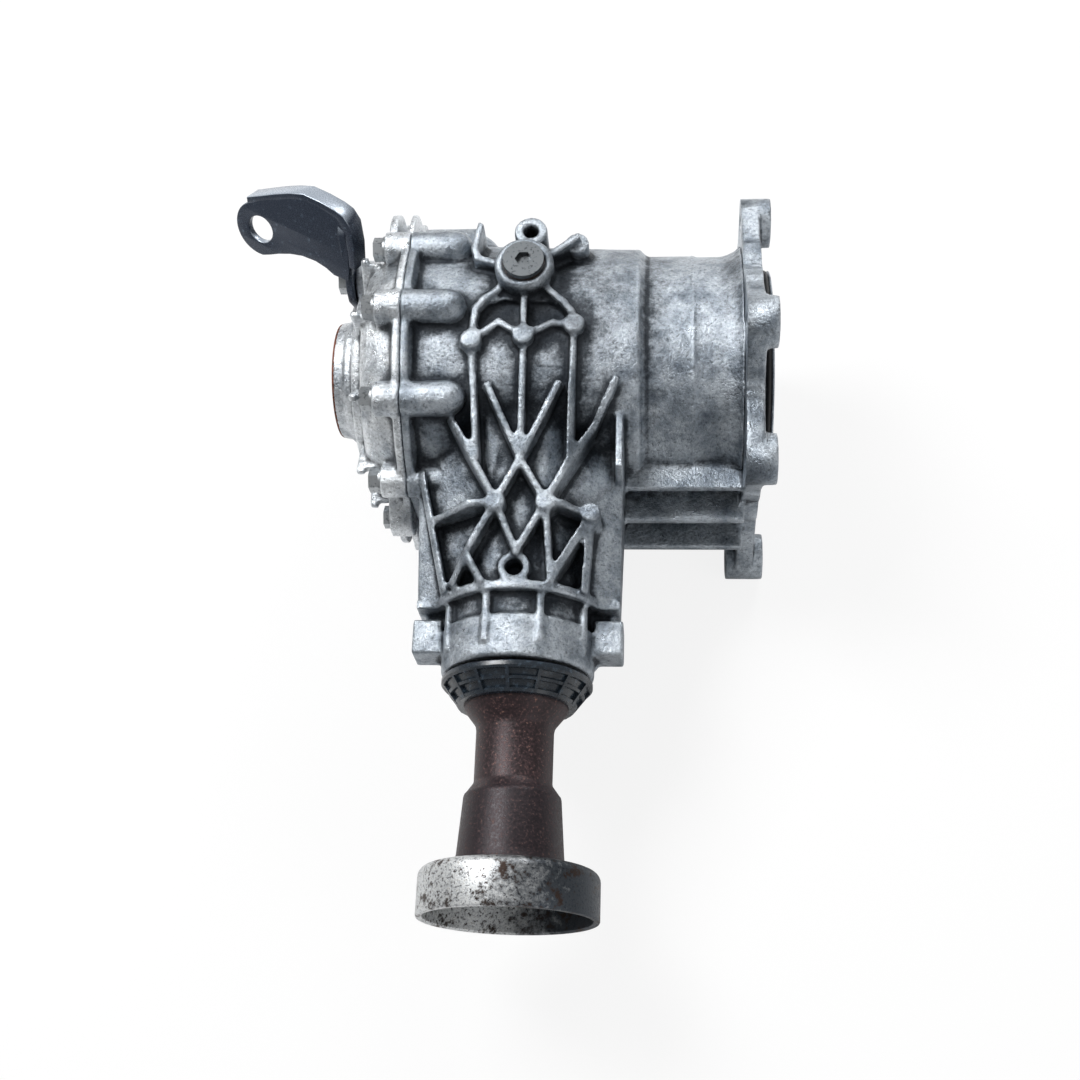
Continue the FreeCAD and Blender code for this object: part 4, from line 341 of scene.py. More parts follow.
@dataclass(frozen=True)
class RustyFlange:
    """Forged steel: a brown rusted tube with a darker foot, and a cup turned bright, with rust and a painted
    shade down one side.

    Places are along the output axis, which is the Y axis. Rust patches are about 9 mm wide and specks 2 mm.
    """

    name: str = "rusted_forged_steel"
    tube: str = "241b1d"
    tube_middle: str = "352629"
    tube_light: str = "5d4644"
    tube_scale: str = "98735c"
    foot: str = "17131a"
    foot_share: float = 0.55
    foot_starts: float = -0.262
    foot_full: float = -0.271
    steel: str = "b2b5b8"
    steel_bright: str = "dadcdc"
    steel_dull: str = "8c8884"
    pit: str = "3b2a22"
    cup_rust: str = "352821"
    # Colour of the painted shade on one side of the cup, and how fast it rises along X.
    cup_painted_shade: str = "2b3138"
    cup_starts: float = -0.3113
    painted_shade_slope: float = 9.0
    patch_mm: float = 9.0
    speck_mm: float = 1.7
    relief_mm: float = 0.35

    def make(self) -> bpy.types.Material:
        """Build the material from Object coordinates.

        Returns:
            The new material.
        """
        material, tree, shader = blank_material(self.name)
        place = add_node(tree, "ShaderNodeTexCoord")
        where = (place, "Object")
        split = add_node(tree, "ShaderNodeSeparateXYZ", None, {"Vector": where})
        patches = add_node(tree, "ShaderNodeTexNoise",
                           {"Scale": 1 / (self.patch_mm * MM), "Detail": 7.0, "Roughness": 0.7}, {"Vector": where})
        specks = add_node(tree, "ShaderNodeTexNoise",
                          {"Scale": 1 / (self.speck_mm * MM), "Detail": 4.0, "Roughness": 0.7}, {"Vector": where})
        brown = set_ramp(add_node(tree, "ShaderNodeValToRGB", None, {"Fac": (specks, "Fac")}),
                         [(0.40, self.tube), (0.56, self.tube_middle), (0.64, self.tube_light),
                          (0.73, self.tube_scale)])
        bare = set_ramp(add_node(tree, "ShaderNodeValToRGB", None, {"Fac": (specks, "Fac")}),
                        [(0.37, self.pit), (0.43, self.steel), (0.56, self.steel_bright),
                         (0.70, self.steel_dull)])
        rust = set_ramp(add_node(tree, "ShaderNodeValToRGB", None, {"Fac": (patches, "Fac")}),
                        [(0.55, 0.0), (0.62, 0.9)])
        cup = add_node(tree, "ShaderNodeMix", {"data_type": "RGBA", 7: linear(self.cup_rust)},
                       {0: (rust, "Color")})
        # Painted shade: the bare cup darkens towards +X, made ragged by the rust patches.
        shade = add_node(tree, "ShaderNodeMath", {"operation": "MULTIPLY_ADD", 1: self.painted_shade_slope,
                                                  2: self.painted_shade_slope * -PINION_X}, {0: (split, "X")})
        ragged_painted_shade = add_node(tree, "ShaderNodeMath", {"operation": "ADD"},
                          {0: (shade, "Value"), 1: (patches, "Fac")})
        painted_shade_ramp = set_ramp(add_node(tree, "ShaderNodeValToRGB", None, {"Fac": (ragged_painted_shade, "Value")}),
                        [(0.40, 0.0), (0.56, 0.62), (0.74, 0.96)])
        painted_shade_mix = add_node(tree, "ShaderNodeMix", {"data_type": "RGBA", 7: linear(self.cup_painted_shade)},
                         {0: (painted_shade_ramp, "Color")})
        tree.links.new(bare.outputs["Color"], painted_shade_mix.inputs[6])
        tree.links.new(painted_shade_mix.outputs[2], cup.inputs[6])
        along = add_node(tree, "ShaderNodeMath", {"operation": "LESS_THAN", 1: self.cup_starts},
                         {0: (split, "Y")})
        foot = add_node(tree, "ShaderNodeMapRange",
                        {"From Min": self.foot_starts, "From Max": self.foot_full, "To Min": 0.0,
                         "To Max": self.foot_share}, {"Value": (split, "Y")})
        darker = add_node(tree, "ShaderNodeMix", {"data_type": "RGBA", 7: linear(self.foot)},
                          {0: (foot, "Result")})
        tree.links.new(brown.outputs["Color"], darker.inputs[6])
        both = add_node(tree, "ShaderNodeMix", {"data_type": "RGBA"}, {0: (along, "Value")})
        tree.links.new(darker.outputs[2], both.inputs[6])
        tree.links.new(cup.outputs[2], both.inputs[7])
        tree.links.new(both.outputs[2], shader.inputs["Base Color"])
        metal = add_node(tree, "ShaderNodeMapRange", {"To Min": 0.45, "To Max": 0.9}, {"Value": (along, "Value")})
        tree.links.new(metal.outputs["Result"], shader.inputs["Metallic"])
        rough = add_node(tree, "ShaderNodeMapRange",
                         {"From Min": 0.35, "From Max": 0.7, "To Min": 0.34, "To Max": 0.62},
                         {"Value": (specks, "Fac")})
        tree.links.new(rough.outputs["Result"], shader.inputs["Roughness"])
        bump = add_node(tree, "ShaderNodeBump", {"Strength": 0.5, "Distance": self.relief_mm * MM},
                        {"Height": (specks, "Fac")})
        tree.links.new(bump.outputs["Normal"], shader.inputs["Normal"])
        return material


# Their fourth colour is grime and painted shade for the hollows, at the share that follows it.
CASE_FINISH = CastAluminium("cast_aluminium_case", "aab1b8", "828a92", "59616b", "191d23", 0.90, 0.38)
COVER_FINISH = CastAluminium("cast_aluminium_cover", "d8dcdf", "b2b7bc", "7f868d", "1e2127", 0.80, 0.34)


def new_piece(name: str, mesh: bpy.types.Mesh, body: str, material: bpy.types.Material,
              replaced: Sequence[str] = ()) -> bpy.types.Object:
    """Link a finished mesh as a piece that rides on a body.

    Args:
        name: the piece's name.
        mesh: its mesh, in place.
        body: the CAD body it moves with.
        material: its finish.
        replaced: CAD nodes it stands for.

    Returns:
        The new object.
    """
    piece = bpy.data.objects.new(name, mesh)
    bpy.context.scene.collection.objects.link(piece)
    mesh.materials.clear()
    mesh.materials.append(material)
    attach(piece, body)
    if replaced:
        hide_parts(*replaced)
    LOG.info("%s: %d faces", name, len(mesh.polygons))
    return piece


@dataclass(frozen=True)
class Disc:
    """A short closed cylinder: a stopper for an opening, a drill, or a form that a skin takes in.

    It reaches from start to end along its axis, measured from the point at.
    """

    radius: float
    start: float
    end: float
    at: tuple[float, float, float]
    axis: Axis
    segments: int = 64

    def add_to(self, soft: bmesh.types.BMesh) -> None:
        """Add the cylinder to a bmesh.

        Args:
            soft: the bmesh that gets it.
        """
        half_way = Matrix.Translation((0, 0, (self.start + self.end) / 2))
        bmesh.ops.create_cone(soft, cap_ends=True, segments=self.segments, radius1=self.radius,
                              radius2=self.radius, depth=self.end - self.start,
                              matrix=Matrix.Translation(self.at) @ self.axis.turn() @ half_way)


# The housing's inside is closed off, so that only its outside and its mouths are skinned: the joint face, the
# gearbox side behind the shaft, the nose's mouth, the filler hole, the vent hole and the drain hole.
HOUSING_STOPPERS = (
    Disc(0.078, -0.2175, -0.2135, (0, 0, 0), Axis.X),
    Disc(0.048, -0.086, -0.076, (0, 0, 0), Axis.X),
    Disc(0.040, 0.150, 0.184, (PINION_X, 0, 0), Axis.MINUS_Y),
    Disc(0.012, 0.080, 0.086, (-0.147, 0.026, 0), Axis.Z),
    Disc(0.007, 0.055, 0.064, (-0.1445, 0.054, 0), Axis.Z),
    Disc(0.012, 0.076, 0.082, (-0.170, -0.018, 0), Axis.MINUS_Z),
)
# The cover is closed at its joint face and in its collar. The other discs are forms of the casting: two plates of
# the rear ear, two of the front ear, and a boss beside the collar.
COVER_STOPPERS = (
    Disc(0.078, -0.2225, -0.2185, (0, 0, 0), Axis.X),
    Disc(0.040, -0.262, -0.250, (0, 0, 0), Axis.X),
    Disc(0.024, -0.2215, -0.2180, (0, 0.0655, 0.0459), Axis.X),
    Disc(0.024, -0.2338, -0.2285, (0, 0.0655, 0.0459), Axis.X),
    Disc(0.020, -0.2215, -0.2180, (0, -0.0800, -0.0290), Axis.X),
    Disc(0.019, -0.2310, -0.2260, (0, -0.0800, -0.0290), Axis.X),
    Disc(0.013, -0.2490, -0.2250, (0, -0.0500, -0.0080), Axis.X),
)


def numbers_of(rows: bpy.types.bpy_prop_collection, name: str, width: int, kind: type) -> np.ndarray:
    """Read one property of all vertices or edges of a mesh.

    Args:
        rows: the mesh's vertices or edges.
        name: the property.
        width: how many numbers it has.
        kind: the numbers' type.

    Returns:
        One row for each vertex or edge.
    """
    flat = np.empty(len(rows) * width, kind)
    rows.foreach_get(name, flat)
    return flat.reshape(-1, width)


def neighbour_means(mesh: bpy.types.Mesh, rounds: int, share: float) -> tuple[np.ndarray, np.ndarray]:
    """Smooth a mesh's points by their neighbours' means.

    Args:
        mesh: the mesh, left as it is.
        rounds: how often every point moves.
        share: how far it moves towards the mean each time.

    Returns:
        The points before and after.
    """
    count = len(mesh.vertices)
    points = numbers_of(mesh.vertices, "co", 3, np.float32).astype(float)
    first, second = numbers_of(mesh.edges, "vertices", 2, np.int64).T
    degree = np.maximum(np.bincount(first, minlength=count) + np.bincount(second, minlength=count), 1)
    smooth = points.copy()
    for _ in range(rounds):
        for axis in range(3):
            line = smooth[:, axis]
            total = (np.bincount(first, line[second], count) + np.bincount(second, line[first], count))
            smooth[:, axis] = line + share * (total / degree - line)
    return points, smooth


def mark_hollows(mesh: bpy.types.Mesh) -> None:
    """Write how hollow and how exposed each point of a skin lies, for dirt with painted shade in the hollows and
    for wear with a painted highlight on the edges.

    A point's distance from its smoothed place tells both: near shows edges and fillets, wide shows pockets.

    Args:
        mesh: the skin, which gets two attributes: how hollow and how exposed each point lies.
    """
    normals = numbers_of(mesh.vertices, "normal", 3, np.float32)
    found = {}
    for name, rounds, full in (("near", 10, 0.55 * MM), ("wide", 120, 2.6 * MM)):
        points, smooth = neighbour_means(mesh, rounds, 0.6)
        found[name] = np.einsum("ij,ij->i", smooth - points, normals) / full
    # The wide measure stands in for ambient occlusion, so darkening the hollows is part dirt, part painted shade.
    hollow = np.clip(0.5 * found["near"] + found["wide"], 0, 1)
    # Exposed edges: lightened as wear and as a painted highlight.
    edge_wear_and_highlight = np.clip(-found["near"] * 0.8 - 0.25, 0, 1)
    for name, values in (("hollow", hollow), ("edge_wear_and_highlight", edge_wear_and_highlight)):
        attribute = mesh.attributes.new(name, "FLOAT", "POINT")
        attribute.data.foreach_set("value", values.astype(np.float32))


def largest_shell(mesh: bpy.types.Mesh) -> None:
    """Keep only the largest connected shell of a mesh, which is its outside once the openings are stopped.

    Args:
        mesh: the mesh, which loses its other shells.
    """
    first, second = numbers_of(mesh.edges, "vertices", 2, np.int64).T
    label = np.arange(len(mesh.vertices))
    while True:
        low = np.minimum(label[first], label[second])
        new = label.copy()
        np.minimum.at(new, first, low)
        np.minimum.at(new, second, low)
        new = new[new]
        if np.array_equal(new, label):
            break
        label = new
    kinds, members = np.unique(label, return_counts=True)
    keep = kinds[np.argmax(members)]
    solid = bmesh.new()
    solid.from_mesh(mesh)
    solid.verts.ensure_lookup_table()
    gone = [solid.verts[index] for index in np.nonzero(label != keep)[0]]
    bmesh.ops.delete(solid, geom=gone, context="VERTS")
    solid.to_mesh(mesh)
    solid.free()


def move_points(mesh: bpy.types.Mesh, press: Callable[[np.ndarray], None]) -> None:
    """Let a function move a mesh's points.

    Args:
        mesh: the mesh.
        press: changes the rows of points that it is given.
    """
    points = numbers_of(mesh.vertices, "co", 3, np.float32)
    press(points)
    mesh.vertices.foreach_set("co", points.ravel())
    mesh.update()


@dataclass(frozen=True)
class CaseForm:
    """The case near its gearbox flange: where it steps down, its flare, and a flange no wider than its lugs need.

    Places are along the input axis in metres, and the lugs' places are (y, z) across it.
    """

    step_starts: float = -0.079
    step_length: float = 0.004
    step_ends: float = -0.048
    step_reach: float = 0.0818
    full_radius: float = 0.0794
    neck_radius: float = 0.0763
    flare_starts: float = -0.032
    flare: float = 0.006
    flare_grip: float = 0.0016
    plate_back: float = -0.018
    plate_face: float = -0.007
    plate_radius: float = 0.082
    plate_reach: float = 0.0912
    plate_margin: float = 0.0008
    lug_radius: float = 0.0152
    lug_margin: float = 0.0015
    lug_length: float = 0.008
    lowest_open_lug: float = -0.060
    shrink: float = 0.009
    shrink_rounds: int = 14
    lugs: tuple[tuple[float, float], ...] = (
        (-0.084, -0.090), (-0.017, -0.090), (0.050, -0.090), (-0.083, 0.054), (0.079, 0.054), (-0.017, 0.096))

    def beyond_plate(self, y: np.ndarray, z: np.ndarray) -> np.ndarray:
        """How far places lie outside the plate, which narrows from its round core to each lug.

        Args:
            y: the places' distances in front of the axis.
            z: their heights over it.

        Returns:
            Distances in metres, below zero inside the plate.
        """
        nearest = np.full(len(y), 1.0)
        for lug_y, lug_z in self.lugs:
            reach = math.hypot(lug_y, lug_z)
            along = (y * lug_y + z * lug_z) / reach
            aside = np.abs(y * lug_z - z * lug_y) / reach
            lean = (self.plate_radius - self.lug_radius) / reach
            upright = math.sqrt(1 - lean * lean)
            place = upright * along - lean * aside
            core = np.hypot(along, aside) - self.plate_radius
            tip = np.hypot(along - reach, aside) - self.lug_radius
            flank = aside * upright + along * lean - self.plate_radius
            outward = np.where(place > upright * reach, tip, flank)
            nearest = np.minimum(nearest, np.where(place < 0, core, outward))
        return nearest

    def press(self, points: np.ndarray) -> None:
        """Press the casting's skin to this form.

        Args:
            points: the skin's points, changed in place.
        """
        x, y, z = points.T
        radius = np.hypot(y, z)
        fall = np.clip((x - self.step_starts) / self.step_length, 0, 1)
        target = self.full_radius - (self.full_radius - self.neck_radius) * fall
        band = (x > self.step_starts) & (x < self.step_ends)
        band &= (radius > self.neck_radius - MM) & (radius < self.step_reach)
        scale = np.where(band, np.minimum(1.0, target / radius), 1.0)
        rise = np.clip((x - self.flare_starts) / (self.plate_back - self.flare_starts), 0, 1)
        neck = (x > self.flare_starts) & (x < self.plate_back + MM)
        neck &= np.abs(radius - self.neck_radius) < self.flare_grip
        scale = np.where(neck, 1 + self.flare * rise * rise / radius, scale)
        plate = (x > self.plate_back - self.plate_margin) & (x < self.plate_face + self.plate_margin)
        outside = plate & (radius < self.plate_reach) & (self.beyond_plate(y, z) > 0)
        inward = np.ones(len(x))
        for _ in range(self.shrink_rounds):
            far = outside & (self.beyond_plate(y * inward, z * inward) > 0)
            inward = np.where(far, inward - self.shrink, inward)
        scale = np.where(outside, inward, scale)
        points[:, 1] *= scale
        points[:, 2] *= scale
        for lug_y, lug_z in self.lugs:
            boss = (np.hypot(y - lug_y, z - lug_z) < self.lug_radius + self.lug_margin) & (x < self.plate_back)
            if lug_z > self.lowest_open_lug:
                points[boss & (x > self.plate_back - self.lug_length), 0] = self.plate_back


def worked_in(carrier: bpy.types.Object, keep_attributes: bool = False) -> bpy.types.Mesh:
    """Copy an object's mesh with its modifiers worked in.

    Args:
        carrier: the object.
        keep_attributes: whether the copy keeps all the mesh's own attributes.

    Returns:
        The new mesh.
    """
    seen = bpy.context.evaluated_depsgraph_get()
    return bpy.data.meshes.new_from_object(carrier.evaluated_get(seen), depsgraph=seen,
                                           preserve_all_data_layers=keep_attributes)


@dataclass
class CastSkin:
    """A fresh skin over a CAD casting: stopped openings, rounded corners, even small faces."""

    node: str
    slot: str
    finish: CastAluminium
    stoppers: Sequence[Disc]
    press: Callable[[np.ndarray], None] | None = None
    body: str = "casing"
    voxel: float = 1.25 * MM
    weld: float = 0.005 * MM
    rounding: int = 2
    most_triangles: int = 190000

    def build(self, frame: dict) -> bpy.types.Object:
        """Make the skin and let it stand for its CAD node.


        Returns:
            The new piece.
        """
        solid = bmesh.new()
        solid.from_mesh(frame["nodes"][self.node].data)
        bmesh.ops.remove_doubles(solid, verts=solid.verts, dist=self.weld)
        for stopper in self.stoppers:
            stopper.add_to(solid)
        rough = bpy.data.meshes.new(self.node + "_rough")
        solid.to_mesh(rough)
        solid.free()
        carrier = bpy.data.objects.new(self.node + "_carrier", rough)
        bpy.context.scene.collection.objects.link(carrier)
        remesh = carrier.modifiers.new("skin", "REMESH")
        remesh.mode = "VOXEL"
        remesh.voxel_size = self.voxel
        remesh.use_smooth_shade = True
        skin = worked_in(carrier, keep_attributes=True)
        largest_shell(skin)
        if self.press:
            move_points(skin, self.press)
        solid = bmesh.new()
        solid.from_mesh(skin)
        for _ in range(self.rounding):
            bmesh.ops.smooth_vert(solid, verts=solid.verts, factor=0.5, use_axis_x=True, use_axis_y=True,
                                  use_axis_z=True)
        solid.to_mesh(skin)
        solid.free()
        mark_hollows(skin)
        skin = self.thinned(carrier, skin)
        bpy.data.objects.remove(carrier)
        skin.polygons.foreach_set("use_smooth", [True] * len(skin.polygons))
        return new_piece(self.node + "_casting", skin, self.body, self.finish.make(), [self.node])

    def thinned(self, carrier: bpy.types.Object, skin: bpy.types.Mesh) -> bpy.types.Mesh:
        """Thin a skin, flat places first, to the triangles that it may have.

        Args:
            carrier: an object to work on.
            skin: the skin.

        Returns:
            The skin itself, or its thinner copy.
        """
        triangles = sum(len(face.vertices) - 2 for face in skin.polygons)
        if triangles <= self.most_triangles:
            return skin
        carrier.modifiers.clear()
        carrier.data = skin
        thin = carrier.modifiers.new("thin", "DECIMATE")
        thin.ratio = self.most_triangles / triangles
        return worked_in(carrier, keep_attributes=True)


def dress_nodes(frame: dict) -> None:
    """Give every CAD node the finish of its material slot.
    """
    finishes = {
        # Painted sheet: nearly black, with wide grey scuffs.
        "black_steel": PlainMetal("satin_black_paint", "16181b", "3a3f40", 0.35, 6.0, 0.2, 0.38),
        # Zinc that has gone grey: a soft metal gleam with dull specks.
        "zinc_steel": PlainMetal("zinc_plated_steel", "a4a8ab", "74787b", 0.4, 2.5, 0.92, 0.33),
        # Bare steel under old oil: dark, with fine darker specks.
        "plug_steel": PlainMetal("dulled_steel", "6c7073", "44464a", 0.35, 2.0, 0.9, 0.38),
        # Soft copper gone brown.
        "copper_washer": PlainMetal("dull_copper", "9a6a4a", "5c3d2b", 0.4, 2.0, 0.9, 0.45),
        # Thin sheet rusted through its coating: matt brown, half of it lighter.
        "rim_seal": PlainMetal("rusty_seal_ring", "4a2a1c", "7a4a30", 0.5, 1.5, 0.4, 0.6),
        # Rubber: matt and nearly black.
        "seal_rubber": PlainMetal("seal_rubber", "18181a", "2b2b2c", 0.3, 2.0, 0.0, 0.55),
        # Ground rollers and races: the brightest and smoothest steel of all.
        "bearing_steel": PlainMetal("ground_bearing_steel", "c4c6c8", "a4a6a8", 0.2, 3.0, 1.0, 0.22, 0.05),
        # Pressed sheet: duller and yellower than the races.
        "cage_steel": PlainMetal("pressed_cage_steel", "9d9c98", "84827c", 0.3, 3.0, 0.9, 0.38),
        # Turned steel under an oil film.
        "shaft_steel": PlainMetal("turned_steel", "8e9092", "5c5a58", 0.4, 3.0, 0.95, 0.32),
        # Hardened and blasted teeth: an even dark grey.
        "gear_steel": PlainMetal("case_hardened_gear_steel", "77797b", "55565a", 0.3, 4.0, 0.95, 0.33),
        # Moulded plastic: black with faint grey wear.
        "black_plastic": PlainMetal("moulded_black_plastic", "101218", "2a2c31", 0.4, 2.5, 0.0, 0.36),
        "cast_case": CASE_FINISH,
        "cast_cover": COVER_FINISH,
        "rusty_steel": RustyFlange(),
    }
    made = {slot: finish.make() for slot, finish in finishes.items()}
    for part in frame["record"]["subparts"]:
        node = frame["nodes"][part["node"]]
        node.data.materials.clear()
        node.data.materials.append(made[part["material_slot"]])


def turned(profile: Sequence[tuple[float, float]], segments: int = 128) -> bmesh.types.BMesh:
    """Spin a closed profile about the pinion axis.

    Args:
        profile: (radius, distance from the crown axis) corners in millimetres.
        segments: steps round the axis.

    Returns:
        A closed bmesh in place.
    """
    soft = bmesh.new()
    corners = [soft.verts.new((PINION_X + radius * MM, -along * MM, 0)) for radius, along in profile]
    edges = [soft.edges.new((corners[index - 1], corners[index])) for index in range(len(corners))]
    bmesh.ops.spin(soft, geom=corners + edges, cent=(PINION_X, 0, 0), axis=(0, 1, 0), dvec=(0, 0, 0),
                   angle=math.tau, steps=segments, use_merge=True, use_duplicate=False)
    bmesh.ops.recalc_face_normals(soft, faces=soft.faces)
    return soft


def rounded_corner(radius: float, along: float, round_mm: float, steps: int = 6) -> list[tuple[float, float]]:
    """Corners of a quarter round that starts on a face across the axis and ends on a cylinder.

    Args:
        radius: radius of the cylinder, in millimetres.
        along: place of the face.
        round_mm: radius of the rounding.
        steps: straight pieces in the quarter.

    Returns:
        (radius, distance) corners.
    """
    turns = [math.pi / 2 * step / steps for step in range(steps + 1)]
    return [(radius - round_mm + round_mm * math.sin(turn), along + round_mm - round_mm * math.cos(turn))
            for turn in turns]


def finished(soft: bmesh.types.BMesh, name: str, sharp_degrees: float = 32.0) -> bpy.types.Mesh:
    """Turn a bmesh into a mesh whose gentle edges are smooth and whose hard edges stay sharp.

    Args:
        soft: the bmesh, which is freed.
        name: the mesh's name.
        sharp_degrees: edges that bend more than this stay sharp.

    Returns:
        The mesh.
    """
    for edge in soft.edges:
        edge.smooth = len(edge.link_faces) == 2 and edge.calc_face_angle(0.0) < math.radians(sharp_degrees)
    for face in soft.faces:
        face.smooth = True
    mesh = bpy.data.meshes.new(name)
    soft.to_mesh(mesh)
    soft.free()
    return mesh


@dataclass
class SealRim:
    """The rusty steel edge of the collar's shaft seal, in millimetres."""

    outside: float = 36.3
    inside: float = 31.0
    start: float = -270.4
    end: float = -268.0

    def build(self) -> bpy.types.Object:
        """Make the rim as a ring pressed into the collar's mouth.

        Returns:
            The new piece.
        """
        depth = self.end - self.start
        ring = turned([
            (self.inside, depth), (self.inside, 0.6), (self.inside + 0.6, 0.0), (self.outside - 2.2, 0.0),
            (self.outside - 1.6, 0.5), (self.outside - 1.0, 0.2), (self.outside - 0.3, 0.2), (self.outside, 0.6),
            (self.outside, depth)])
        lay = (Matrix.Translation((self.start * MM, 0, 0)) @ Matrix.Rotation(math.radians(90), 4, "Z")
               @ Matrix.Translation((-PINION_X, 0, 0)))
        bmesh.ops.transform(ring, verts=ring.verts, matrix=lay)
        finish = PlainMetal("rusty_seal_rim", "6b3a26", "2e1c17", 0.5, 2.2, 0.35, 0.62, 0.6)
        return new_piece("collar_seal_rim", finished(ring, "rim"), "casing", finish.make())


@dataclass
class OutputFlange:
    """The forged output flange: a rusty tube on a foot cone, and a turned cup for the shaft joint.

    Sizes are in millimetres, places along the output axis from the input axis.
    """

    hub_face: float = 168.0
    hub_radius: float = 20.0
    shield_seat: float = 30.5
    spline_bore: float = 13.02
    spline_ends: float = 208.0
    tube_radius: float = 22.5
    tube_bore: float = 18.0
    foot_radius: float = 30.6
    cup_radius: float = 51.0
    cup_bore: float = 47.35
    cup_back: float = 311.5
    cup_rim: float = 338.9
    cup_floor: float = 317.5
    cup_rounding: float = 5.5
    hole_circle: float = 40.0
    hole_radius: float = 3.4
    hole_starts: float = 305.0
    hole_ends: float = 325.0
    hole_count: int = 6
    first_hole_degrees: float = 30.0

    def profile(self) -> list[tuple[float, float]]:
        """The closed profile, from the hub along the outside and back through the bore.

        Returns:
            (radius, place) corners.
        """
        return [
            (self.spline_bore, self.hub_face), (self.hub_radius - 1.0, self.hub_face),
            (self.hub_radius, self.hub_face + 1.0), (self.hub_radius, 203.0), (26.5, 212.5),
            (self.shield_seat, 215.5), (self.shield_seat, 218.5), (29.6, 220.2), (24.0, 227.4), (23.0, 229.2),
            (self.tube_radius, 232.0), (self.tube_radius, 262.0), (22.9, 263.6), (26.6, 268.8), (27.6, 270.0),
            (28.0, 271.4), (self.foot_radius - 0.3, 303.0), (self.foot_radius + 0.2, 307.5),
            (self.foot_radius + 1.4, 310.4), (self.foot_radius + 3.6, self.cup_back),
            *rounded_corner(self.cup_radius, self.cup_back, self.cup_rounding),
            (self.cup_radius, self.cup_rim - 1.1), (self.cup_radius - 0.35, self.cup_rim - 0.35),
            (self.cup_radius - 1.1, self.cup_rim), (self.cup_bore + 1.0, self.cup_rim),
            (self.cup_bore, self.cup_rim - 1.0), (self.cup_bore, self.cup_floor + 1.2),
            (self.cup_bore - 1.2, self.cup_floor), (self.tube_bore + 0.6, self.cup_floor),
            (self.tube_bore, self.cup_floor - 0.6), (self.tube_bore, self.spline_ends),
            (self.spline_bore, self.spline_ends)]

    def build(self) -> bpy.types.Object:
        """Make the flange with its six tapped holes, in place of its CAD node.

        Returns:
            The new piece.
        """
        carrier = bpy.data.objects.new("flange_carrier", finished(turned(self.profile()), "flange_turned"))
        drills = bmesh.new()
        for index in range(self.hole_count):
            angle = math.radians(self.first_hole_degrees + index * 360.0 / self.hole_count)
            at = (PINION_X + self.hole_circle * MM * math.cos(angle), 0, self.hole_circle * MM * math.sin(angle))
            Disc(self.hole_radius * MM, self.hole_starts * MM, self.hole_ends * MM, at,
                 Axis.MINUS_Y).add_to(drills)
        drill = bpy.data.objects.new("flange_drills", finished(drills, "flange_drills"))
        for item in (carrier, drill):
            bpy.context.scene.collection.objects.link(item)
        boring = carrier.modifiers.new("holes", "BOOLEAN")
        boring.operation = "DIFFERENCE"
        boring.object = drill
        boring.solver = "EXACT"
        mesh = worked_in(carrier)
        for item in (carrier, drill):
            bpy.data.objects.remove(item)
        return new_piece("output_flange_forging", mesh, "pinion_shaft", RustyFlange().make(),
                         ["output_flange"])


@dataclass
class DustShield:
    """The black plastic shield: a cone with three rings and ribs between them.

    Sizes are in millimetres, places along the output axis from the input axis.
    """

    mouth: float = 202.0
    end: float = 217.5
    outside: float = 44.3
    inside: float = 34.3
    seat: float = 30.6
    ribs: int = 14
    rib_width: float = 1.9
    rib_height: float = 3.4
    rib_sink: float = 1.5
    rib_gap: float = 1.6
    first_rib_degrees: float = -2.6

    def build(self) -> bpy.types.Object:
        """Make the shield in place of its CAD node.

        Returns:
            The new piece.
        """
        ring, end = self.outside, self.end
        shell = turned([
            (ring - 2.9, self.mouth), (ring - 0.7, self.mouth), (ring, self.mouth + 0.7), (ring, self.mouth + 3.0),
            (ring - 1.2, self.mouth + 4.2), (ring - 3.4, self.mouth + 4.0), (ring - 6.0, self.mouth + 7.4),
            (ring - 4.5, self.mouth + 8.0), (ring - 5.6, self.mouth + 9.4), (ring - 7.6, self.mouth + 9.2),
            (ring - 10.2, end - 3.0), (self.inside + 1.2, end - 1.8), (self.inside, end), (self.seat, end),
            (self.seat, end - 3.4), (ring - 4.6, self.mouth + 3.0)])
        length = self.end - self.mouth - 2.2
        slope = math.atan2(ring - self.inside, length)
        for index in range(self.ribs):
            turn = math.radians(self.first_rib_degrees + index * 360.0 / self.ribs)
            made = bmesh.ops.create_cube(shell, size=1.0)
            shape = Matrix.Diagonal((self.rib_width * MM, (length - 0.6) * MM / math.cos(slope),
                                     self.rib_height * MM, 1.0))
            lean = Matrix.Rotation(slope, 4, "X")
            middle = Matrix.Translation((0, -(self.mouth + self.rib_gap + length / 2) * MM,
                                         ((ring + self.inside) / 2 - self.rib_sink) * MM))
            spin = Matrix.Rotation(turn, 4, "Y")
            bmesh.ops.transform(shell, verts=made["verts"],
                                matrix=Matrix.Translation((PINION_X, 0, 0)) @ spin @ middle @ lean @ shape)
        finish = PlainMetal("moulded_black_plastic", "1b232b", "34404b", 0.4, 2.5, 0.0, 0.24)
        return new_piece("dust_shield_moulding", finished(shell, "shield"), "pinion_shaft",
                         finish.make(), ["dust_shield"])


